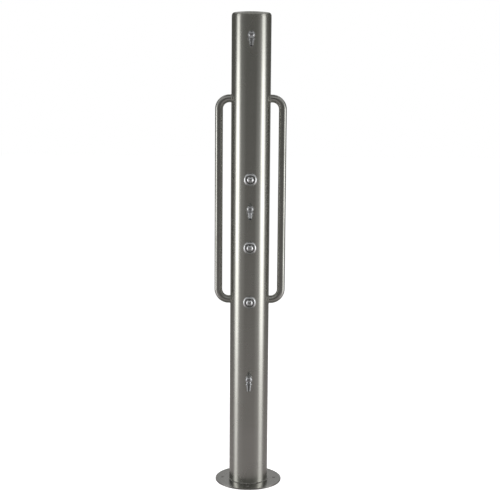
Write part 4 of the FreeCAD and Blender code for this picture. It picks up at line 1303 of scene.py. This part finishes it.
@dataclass
class SprayHead:
    """A spray head: the seat and ball on the column, and the socket, barrel and spray plate that swivel."""

    name: str
    height: float
    lean: float
    casing_radius: float = CASING_RADIUS
    gasket_face: float = GASKET_FACE
    seat_radius: float = 14.0
    seat_face: float = 90.15
    seat_edge: float = 2.5
    thread_radius: float = 10.4
    spigot_end: float = 54.15
    flange_radius: float = 12.0
    flange_thickness: float = 3.0
    neck_radius: float = 7.5
    ball_radius: float = 12.0
    ball_centre: float = 112.15
    socket_radius: float = 16.0
    socket_inner: float = 12.4
    socket_split: float = 9.0
    mouth_angle: float = 53.0
    waist: float = 11.5
    collar: float = 15.5
    collar_start: float = 18.0
    collar_end: float = 23.0
    length: float = 50.0
    tip: float = 7.8
    recess: float = 6.3
    recess_depth: float = 5.0
    waterway: float = 5.0
    insert_radius: float = 6.2
    jet: float = 0.65
    jet_rings: tuple[tuple[int, float], ...] = ((6, 2.6), (10, 4.7))
    jet_flare: float = 1.7
    blank_share: float = 0.8
    seat_steps: int = 8
    ball_steps: int = 24
    socket_steps: int = 30
    mouth_segments: int = 96
    barrel_sharp_over: float = 50.0
    segments: int = 112

    @property
    def axis(self) -> Vector:
        """The barrel's direction."""
        lean = math.radians(self.lean)
        return Vector((0.0, -math.sin(lean), -math.cos(lean)))

    @property
    def centre(self) -> Vector:
        """The ball's centre."""
        return on_front(self.ball_centre, self.height)

    def seat(self) -> bpy.types.Object:
        """Turns the seat and hollows its back to the gasket's curve.

        Returns:
            The seat.
        """
        start = self.casing_radius * self.blank_share
        profile = rounded([(self.thread_radius, start, 0), (self.seat_radius, start, 0),
                           (self.seat_radius, self.seat_face, self.seat_edge),
                           (self.thread_radius, self.seat_face, 0.3)], steps=self.seat_steps)
        seat = turned("seat", profile, self.segments, on_front(0, self.height), OUT)
        hollow_back(seat, self.gasket_face, self.height, 2 * self.seat_radius)
        smooth(seat)
        return seat

    def build(self, chrome: bpy.types.Material, plastic: bpy.types.Material, repeater: Repeater) -> None:
        """Makes the spigot, the socket's nut, the barrel and the spray plate.

        Args:
            chrome: the metal pieces' material.
            plastic: the spray plate's material.
            repeater: what sets the jets.
        """
        self.build_spigot(chrome)
        self.build_nut(chrome)
        self.build_barrel(chrome)
        self.build_plate(plastic, repeater)

    def build_spigot(self, chrome: bpy.types.Material) -> None:
        """Turns the spigot with its flange, its neck and its ball.

        Args:
            chrome: its material.
        """
        back = self.seat_face + SEAT_GAP
        front = self.seat_face + self.flange_thickness
        meets = self.ball_centre - math.sqrt(self.ball_radius ** 2 - self.neck_radius ** 2)
        stem = rounded([(0, self.spigot_end, 0), (self.thread_radius, self.spigot_end, 0.8),
                        (self.thread_radius, back, 0), (self.flange_radius, back, 0),
                        (self.flange_radius, front, 1.0), (self.neck_radius, front, 0.8),
                        (self.neck_radius, meets, 0)], closed=False)
        start = math.degrees(math.acos(self.neck_radius / self.ball_radius))
        ball = arc((0, self.ball_centre), self.ball_radius, -start, 90, self.ball_steps)[1:]
        ball[-1] = (0.0, self.ball_centre + self.ball_radius)
        spigot = turned("ball_spigot_" + self.name, stem + ball, self.segments, on_front(0, self.height), OUT)
        smooth(spigot)
        settle(spigot, chrome, ROOT_BODY, ["head_spigot_" + self.name])

    def build_nut(self, chrome: bpy.types.Material) -> None:
        """Turns the socket's nut and cuts its mouth.

        Args:
            chrome: its material.
        """
        split = self.socket_split - SEAT_GAP
        outer_end = math.degrees(math.asin(split / self.socket_radius))
        inner_end = math.degrees(math.asin(split / self.socket_inner))
        outside = arc((0, 0), self.socket_radius, -90, outer_end, self.socket_steps)
        inside = arc((0, 0), self.socket_inner, inner_end, -90, self.ball_steps)
        outside[0] = (0.0, -self.socket_radius)
        inside[-1] = (0.0, -self.socket_inner)
        edge = rounded([outside[-1] + (0.35,), inside[0] + (0.2,)], closed=False)
        nut = turned("ball_socket_" + self.name, outside + edge[1:-1] + inside, self.segments, self.centre,
                     self.axis)
        reach = 2 * self.socket_radius
        mouth = lathe([(0, 0), (reach * math.tan(math.radians(self.mouth_angle)), reach), (0, reach)],
                      self.mouth_segments)
        carve(nut, aim(mouth, self.centre, -OUT))
        smooth(nut)
        settle(nut, chrome, "head_" + self.name, ["swivel_nut_" + self.name])

    def build_barrel(self, chrome: bpy.types.Material) -> None:
        """Turns the barrel with its collar.

        Args:
            chrome: its material.
        """
        split = self.socket_split
        shoulder = math.sqrt(self.socket_radius ** 2 - self.waist ** 2)
        floor = self.length - self.recess_depth
        outside = [(math.sqrt(self.socket_radius ** 2 - split ** 2), split, 0.35), (self.waist, shoulder, 0.4),
                   (self.waist, self.collar_start - 1.5, 1.0), (self.collar, self.collar_start, 1.2),
                   (self.collar, self.collar_end, 1.2), (self.waist, self.collar_end + 0.6, 0.8),
                   (self.tip, self.length, 0.9), (self.recess, self.length, 0.3), (self.recess, floor, 0),
                   (self.waterway, floor, 0), (self.waterway, split + 2, 0.5),
                   (math.sqrt(self.socket_inner ** 2 - split ** 2), split, 0.2)]
        barrel = turned("spray_barrel_" + self.name, rounded(outside, steps=6), self.segments, self.centre,
                        self.axis)
        smooth(barrel, self.barrel_sharp_over)
        settle(barrel, chrome, "head_" + self.name, ["spray_nozzle_" + self.name])

    def build_plate(self, plastic: bpy.types.Material, repeater: Repeater) -> None:
        """Turns the spray plate and drills its jets.

        Args:
            plastic: its material.
            repeater: what sets the jets.
        """
        near = self.length - self.recess_depth + SEAT_GAP
        face = self.length - 0.3
        profile = rounded([(0, near, 0), (self.insert_radius, near, 0.3), (self.insert_radius, face, 0.6),
                           (0, face + 0.25, 0)], closed=False)
        plate = turned("spray_plate_" + self.name, profile, self.segments, self.centre, self.axis)
        across = Vector((1.0, 0.0, 0.0))
        upward = self.axis.cross(across)
        spots = []
        for count, radius in self.jet_rings:
            for k in range(count):
                a = 2 * math.pi * k / count
                turn = across * math.cos(a) + upward * math.sin(a)
                spots.append(Spot(self.centre + self.axis * (near - 1) + turn * radius, self.axis, turn))
        end = self.recess_depth + 2
        bit = to_object("jet_bit", lathe([(0, 0), (self.jet, 0), (self.jet, self.recess_depth + 0.4),
                                          (self.jet * self.jet_flare, end), (0, end)], 12))
        bits = repeater.run("jet_bits", bit, spots, plastic)
        carve_with(plate, bits)
        smooth(plate)
        settle(plate, plastic, "head_" + self.name, ["spray_insert_" + self.name])


@dataclass
class Innards:
    """The CAD pieces inside the column, which keep their shape and get their real finishes."""

    finishes: dict[str, tuple[str, ...]]

    def build(self, materials: dict[str, bpy.types.Material]) -> None:
        """Dresses the CAD pieces.

        Args:
            materials: each finish's material, by the finish's name.
        """
        for finish, nodes in self.finishes.items():
            for node in nodes:
                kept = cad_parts[node]
                kept.data.materials.clear()
                kept.data.materials.append(materials[finish])
            log.info("dressed %s with %s", ", ".join(nodes), finish)


# ----------------------------------------------------------------------------------------------------------- studio
@dataclass
class LightPanel:
    """A tall curved soft panel that stands round the column and shows in it as a bright band.

    Bearings are measured at the column, in degrees from -Y towards +X. The glow table gives the radiance at each
    bearing, and the fade table a share of it at each height in metres, with how wide the panel is there.
    """

    name: str
    distance: float
    glow: tuple[GlowRow, ...]
    fade: tuple[FadeRow, ...]
    step: float = 1.5

    def build(self) -> None:
        """Makes the panel, with its radiance as an attribute."""
        mesh = bmesh.new()
        radiance = mesh.verts.layers.float.new("radiance")
        first, last = self.glow[0][0], self.glow[-1][0]
        middle = max(self.glow, key=lambda row: row[1])[0]
        count = round(abs(last - first) / self.step)
        rows = []
        for z, share, width in self.fade:
            row = []
            for k in range(count + 1):
                degrees = first + (last - first) * k / count
                bearing = math.radians(middle + (degrees - middle) * width)
                vert = mesh.verts.new((math.sin(bearing) * self.distance, -math.cos(bearing) * self.distance, z))
                vert[radiance] = between(self.glow, degrees) * share
                row.append(vert)
            rows.append(row)
        for low, high in zip(rows, rows[1:]):
            for k in range(count):
                mesh.faces.new([low[k], low[k + 1], high[k + 1], high[k]])
        panel = to_object(self.name, mesh)
        material = blank_material(self.name)
        tree = material.node_tree
        value = add_node(tree, "ShaderNodeAttribute", attribute_name="radiance").outputs["Fac"]
        light = add_node(tree, "ShaderNodeEmission", {"Strength": value})
        clear = add_node(tree, "ShaderNodeBsdfTransparent")
        both = add_node(tree, "ShaderNodeAddShader", {0: light.outputs[0], 1: clear.outputs[0]})
        add_node(tree, "ShaderNodeOutputMaterial", {"Surface": both.outputs[0]})
        panel.data.materials.append(material)
        panel.visible_camera = False
        panel.visible_shadow = False


def between(table: Sequence[GlowRow], at: float) -> float:
    """Reads a table of places and values between its rows.

    Args:
        table: the rows, in order of place.
        at: the place.

    Returns:
        The value there.
    """
    for (x0, y0), (x1, y1) in zip(table, table[1:]):
        if min(x0, x1) <= at <= max(x0, x1):
            return y0 + (y1 - y0) * (at - x0) / (x1 - x0)
    return 0.0


@dataclass
class Viewpoint:
    """The camera, with its place in metres, its tilts in degrees and its lens in millimetres."""

    place: tuple[float, float, float] = (0.0006, -4.477, 1.646)
    pitch: float = 7.82
    roll: float = 0.45
    lens: float = 74.97
    sensor: float = 36.0

    def build(self) -> None:
        """Makes the camera."""
        pitch = math.radians(self.pitch)
        roll = math.radians(self.roll)
        forward = Vector((0.0, math.cos(pitch), -math.sin(pitch)))
        upward = Vector((0.0, math.sin(pitch), math.cos(pitch)))
        right = Vector((1.0, 0.0, 0.0))
        across = right * math.cos(roll) + upward * math.sin(roll)
        up = upward * math.cos(roll) - right * math.sin(roll)
        data = bpy.data.cameras.new("camera")
        data.lens = self.lens
        data.sensor_width = self.sensor
        data.clip_end = 100.0
        camera = bpy.data.objects.new("camera", data)
        turn = Matrix((across, up, -forward)).transposed().to_4x4()
        camera.matrix_world = Matrix.Translation(Vector(self.place)) @ turn
        bpy.context.scene.collection.objects.link(camera)
        bpy.context.scene.camera = camera


PANEL_FADE = ((-1.6, 0.22, 0.9), (-0.5, 0.24, 0.9), (-0.2, 0.32, 0.9), (0.2, 0.6, 0.95), (0.6, 0.95, 1.0),
              (1.5, 1.0, 1.0), (1.9, 0.8, 0.85), (2.2, 0.5, 0.72), (2.6, 0.32, 0.66), (3.0, 0.2, 0.66))
LEFT_GLOW = ((-28.0, 0.0), (-34.0, 0.07), (-56.0, 0.16), (-65.0, 0.45), (-70.0, 1.8), (-76.0, 2.55), (-88.0, 2.4),
             (-95.0, 0.8), (-103.0, 0.08), (-120.0, 0.0))
RIGHT_GLOW = ((28.0, 0.0), (34.0, 0.10), (50.0, 0.20), (59.0, 0.5), (64.0, 1.8), (72.0, 2.55), (84.0, 2.45),
              (91.0, 1.1), (99.0, 0.15), (120.0, 0.0))
REAR_GLOW = ((150.0, 0.0), (156.0, 0.32), (180.0, 0.38), (204.0, 0.32), (210.0, 0.0))


@dataclass
class Studio:
    """A white sweep with tall soft panels at the sides and the back, an overhead light, and a dim room."""

    floor_size: float = 60.0
    floor_glow: float = 0.62
    floor_white: str = "#F2F2F2"
    room: float = 0.105
    room_low: float = 0.36
    room_under: float = 0.2
    ceiling: float = 0.5
    room_diffuse: float = 0.45
    low_from: float = -0.18
    low_full: float = -0.30
    under_from: float = -0.62
    under_full: float = -0.82
    ceiling_from: float = 0.42
    ceiling_full: float = 0.55
    ceiling_ends: float = 0.84
    ceiling_gone: float = 0.93
    panel_distance: float = 2.4
    overhead_height: float = 3.6
    overhead_size: float = 3.0
    overhead_power: float = 30.0

    def build(self) -> None:
        """Makes the floor, the lights, the room and the camera."""
        self.build_floor()
        for name, glow in (("left_panel", LEFT_GLOW), ("right_panel", RIGHT_GLOW), ("rear_panel", REAR_GLOW)):
            LightPanel(name, self.panel_distance, glow, PANEL_FADE).build()
        self.build_overhead()
        self.build_room()
        Viewpoint().build()
        bpy.context.scene.view_settings.view_transform = "Standard"

    def build_floor(self) -> None:
        """Lays the floor. The panels reach below it, as their mirror images in a gloss floor would, so the metal
        sees them and not it."""
        mesh = bmesh.new()
        half = self.floor_size / 2
        mesh.faces.new([mesh.verts.new(c) for c in ((-half, -half, 0), (half, -half, 0), (half, half, 0),
                                                    (-half, half, 0))])
        floor = to_object("floor", mesh)
        material = blank_material("painted_floor")
        tree = material.node_tree
        paint = add_node(tree, "ShaderNodeBsdfDiffuse", {"Color": linear(self.floor_white)})
        seen = add_node(tree, "ShaderNodeLightPath").outputs["Is Camera Ray"]
        strength = add_node(tree, "ShaderNodeMath", {0: seen, 1: self.floor_glow}, operation="MULTIPLY")
        glow = add_node(tree, "ShaderNodeEmission", {"Strength": strength.outputs[0]})
        both = add_node(tree, "ShaderNodeAddShader", {0: paint.outputs[0], 1: glow.outputs[0]})
        add_node(tree, "ShaderNodeOutputMaterial", {"Surface": both.outputs[0]})
        floor.data.materials.append(material)
        floor.visible_glossy = False

    def build_overhead(self) -> None:
        """Hangs the overhead light, which doesn't show in the metal."""
        data = bpy.data.lights.new("overhead", "AREA")
        data.shape = "SQUARE"
        data.size = self.overhead_size
        data.energy = self.overhead_power
        light = bpy.data.objects.new("overhead", data)
        light.location = (0.0, 0.0, self.overhead_height)
        light.visible_camera = False
        light.visible_glossy = False
        bpy.context.scene.collection.objects.link(light)

    def build_room(self) -> None:
        """Makes the world: white to the eye and even to the floor. The metal sees a dim room with a lighter band of
        ceiling, over a lighter floor that is darker again close under the column."""
        world = bpy.data.worlds.new("room")
        world.use_nodes = True
        tree = world.node_tree
        tree.nodes.clear()
        way = add_node(tree, "ShaderNodeTexCoord").outputs["Generated"]
        rise = add_node(tree, "ShaderNodeSeparateXYZ", {"Vector": way}).outputs["Z"]
        stops = ((self.under_full, self.room_under, "#FFFFF8"), (self.under_from, self.room_low, "#FFF7F8"),
                 (self.low_full, self.room_low, "#FFF7F8"), (self.low_from, self.room, "#FFFFF8"),
                 (self.ceiling_from, self.room, "#FFFFF8"), (self.ceiling_full, self.ceiling, "#FFFFFF"),
                 (self.ceiling_ends, self.ceiling, "#FFFFFF"), (self.ceiling_gone, self.room, "#FFFFF8"))
        from_below = add_node(tree, "ShaderNodeMapRange", {"Value": rise, "From Min": -1.0, "From Max": 1.0})
        tone = add_node(tree, "ShaderNodeValToRGB", {"Fac": from_below.outputs["Result"]})
        ramp = tone.color_ramp.elements
        ramp.remove(ramp[1])
        for index, (direction, strength, white) in enumerate(stops):
            place = (direction + 1.0) / 2
            stop = ramp[0] if index == 0 else ramp.new(place)
            stop.position = place
            stop.color = [strength * c for c in linear(white)[:3]] + [1.0]
        path = add_node(tree, "ShaderNodeLightPath")
        mirrored = add_node(tree, "ShaderNodeBackground", {"Color": tone.outputs["Color"]})
        even = add_node(tree, "ShaderNodeBackground", {"Color": linear("#FFFFFF"), "Strength": self.room_diffuse})
        white = add_node(tree, "ShaderNodeBackground", {"Color": linear("#FFFFFF"), "Strength": 1.0})
        lit = add_node(tree, "ShaderNodeMixShader", {0: path.outputs["Is Diffuse Ray"], 1: mirrored.outputs[0],
                                                     2: even.outputs[0]})
        seen = add_node(tree, "ShaderNodeMixShader", {0: path.outputs["Is Camera Ray"], 1: lit.outputs[0],
                                                      2: white.outputs[0]})
        add_node(tree, "ShaderNodeOutputWorld", {"Surface": seen.outputs[0]})
        bpy.context.scene.world = world


INNER_FINISHES = {
    # The valve bodies get the nickel whose dark grey is painted shade for the groove round each button.
    "nickel": ("valve_bodies",),
    "brass": ("inner_elbows", "compression_nuts", "riser_plug", "stop_valve_body", "valve_lock_nuts",
              "head_lock_nuts"),
    "pipe": ("riser_pipe", "inlet_pipe", "supply_pipe_upper", "supply_pipe_middle", "supply_pipe_lower",
             "outlet_pipe_upper", "outlet_pipe_middle", "outlet_pipe_lower"),
    "screw": ("clamp_screws", "stop_valve_nut", "valve_washers", "head_washers"),
    "plate": ("hatch_frame", "pipe_brackets", "clamp_caps", "stop_valve_lever"),
    "rubber": ("hatch_gasket", "valve_gaskets", "head_gaskets"),
    "acetal": ("valve_cartridges",),
    "chrome": ("stop_valve_ball",),
    "vinyl": ("stop_valve_grip",),
}


def main() -> None:
    """Builds every sub-assembly, the studio and the camera."""
    steel = CASING_STEEL.build()
    rail_steel = RAIL_STEEL.build()
    plate_steel = PLATE_STEEL.build()
    weld = WELD_STEEL.build()
    chrome = CHROME.build()
    satin_chrome = SATIN_CHROME.build()
    screw_steel = SCREW_STEEL.build()
    grey_acetal = GREY_ACETAL.build()
    spring_wire = SPRING_WIRE.build()
    repeater = Repeater()
    valves = [Valve("lower", 815.0), Valve("middle", 1051.0), Valve("upper", 1342.0)]
    heads = [SprayHead("lower", 483.0, 18.0), SprayHead("middle", 1220.0, 38.0), SprayHead("upper", 1942.0, 20.0)]

    Casing().build([v.height for v in valves], [h.height for h in heads], steel, weld, repeater)
    Cap().build(steel, screw_steel, repeater)
    Hatch().build(steel, screw_steel, repeater)
    BaseFlange().build(plate_steel)
    for side, hand in ((-1, "left"), (1, "right")):
        GrabRail().build(side, "hand_rail_" + hand, "grab_rail_" + hand, rail_steel, weld, repeater)
    for valve in valves:
        valve.build(chrome)
        ReturnSpring(valve.name, valve.height).build(spring_wire)
    seats = joined("ball_spigot_seats", [head.seat() for head in heads])
    settle(seats, satin_chrome, ROOT_BODY, ["head_seats"])
    for head in heads:
        head.build(satin_chrome, grey_acetal, repeater)
    Innards(INNER_FINISHES).build({
        "nickel": NICKEL.build(), "brass": BRASS.build(), "pipe": PIPE_STEEL.build(), "screw": screw_steel,
        "plate": plate_steel, "rubber": RUBBER.build(), "acetal": WHITE_ACETAL.build(), "chrome": chrome,
        "vinyl": BLUE_VINYL.build()})
    Studio().build()


if __name__ == "__main__":
    main()
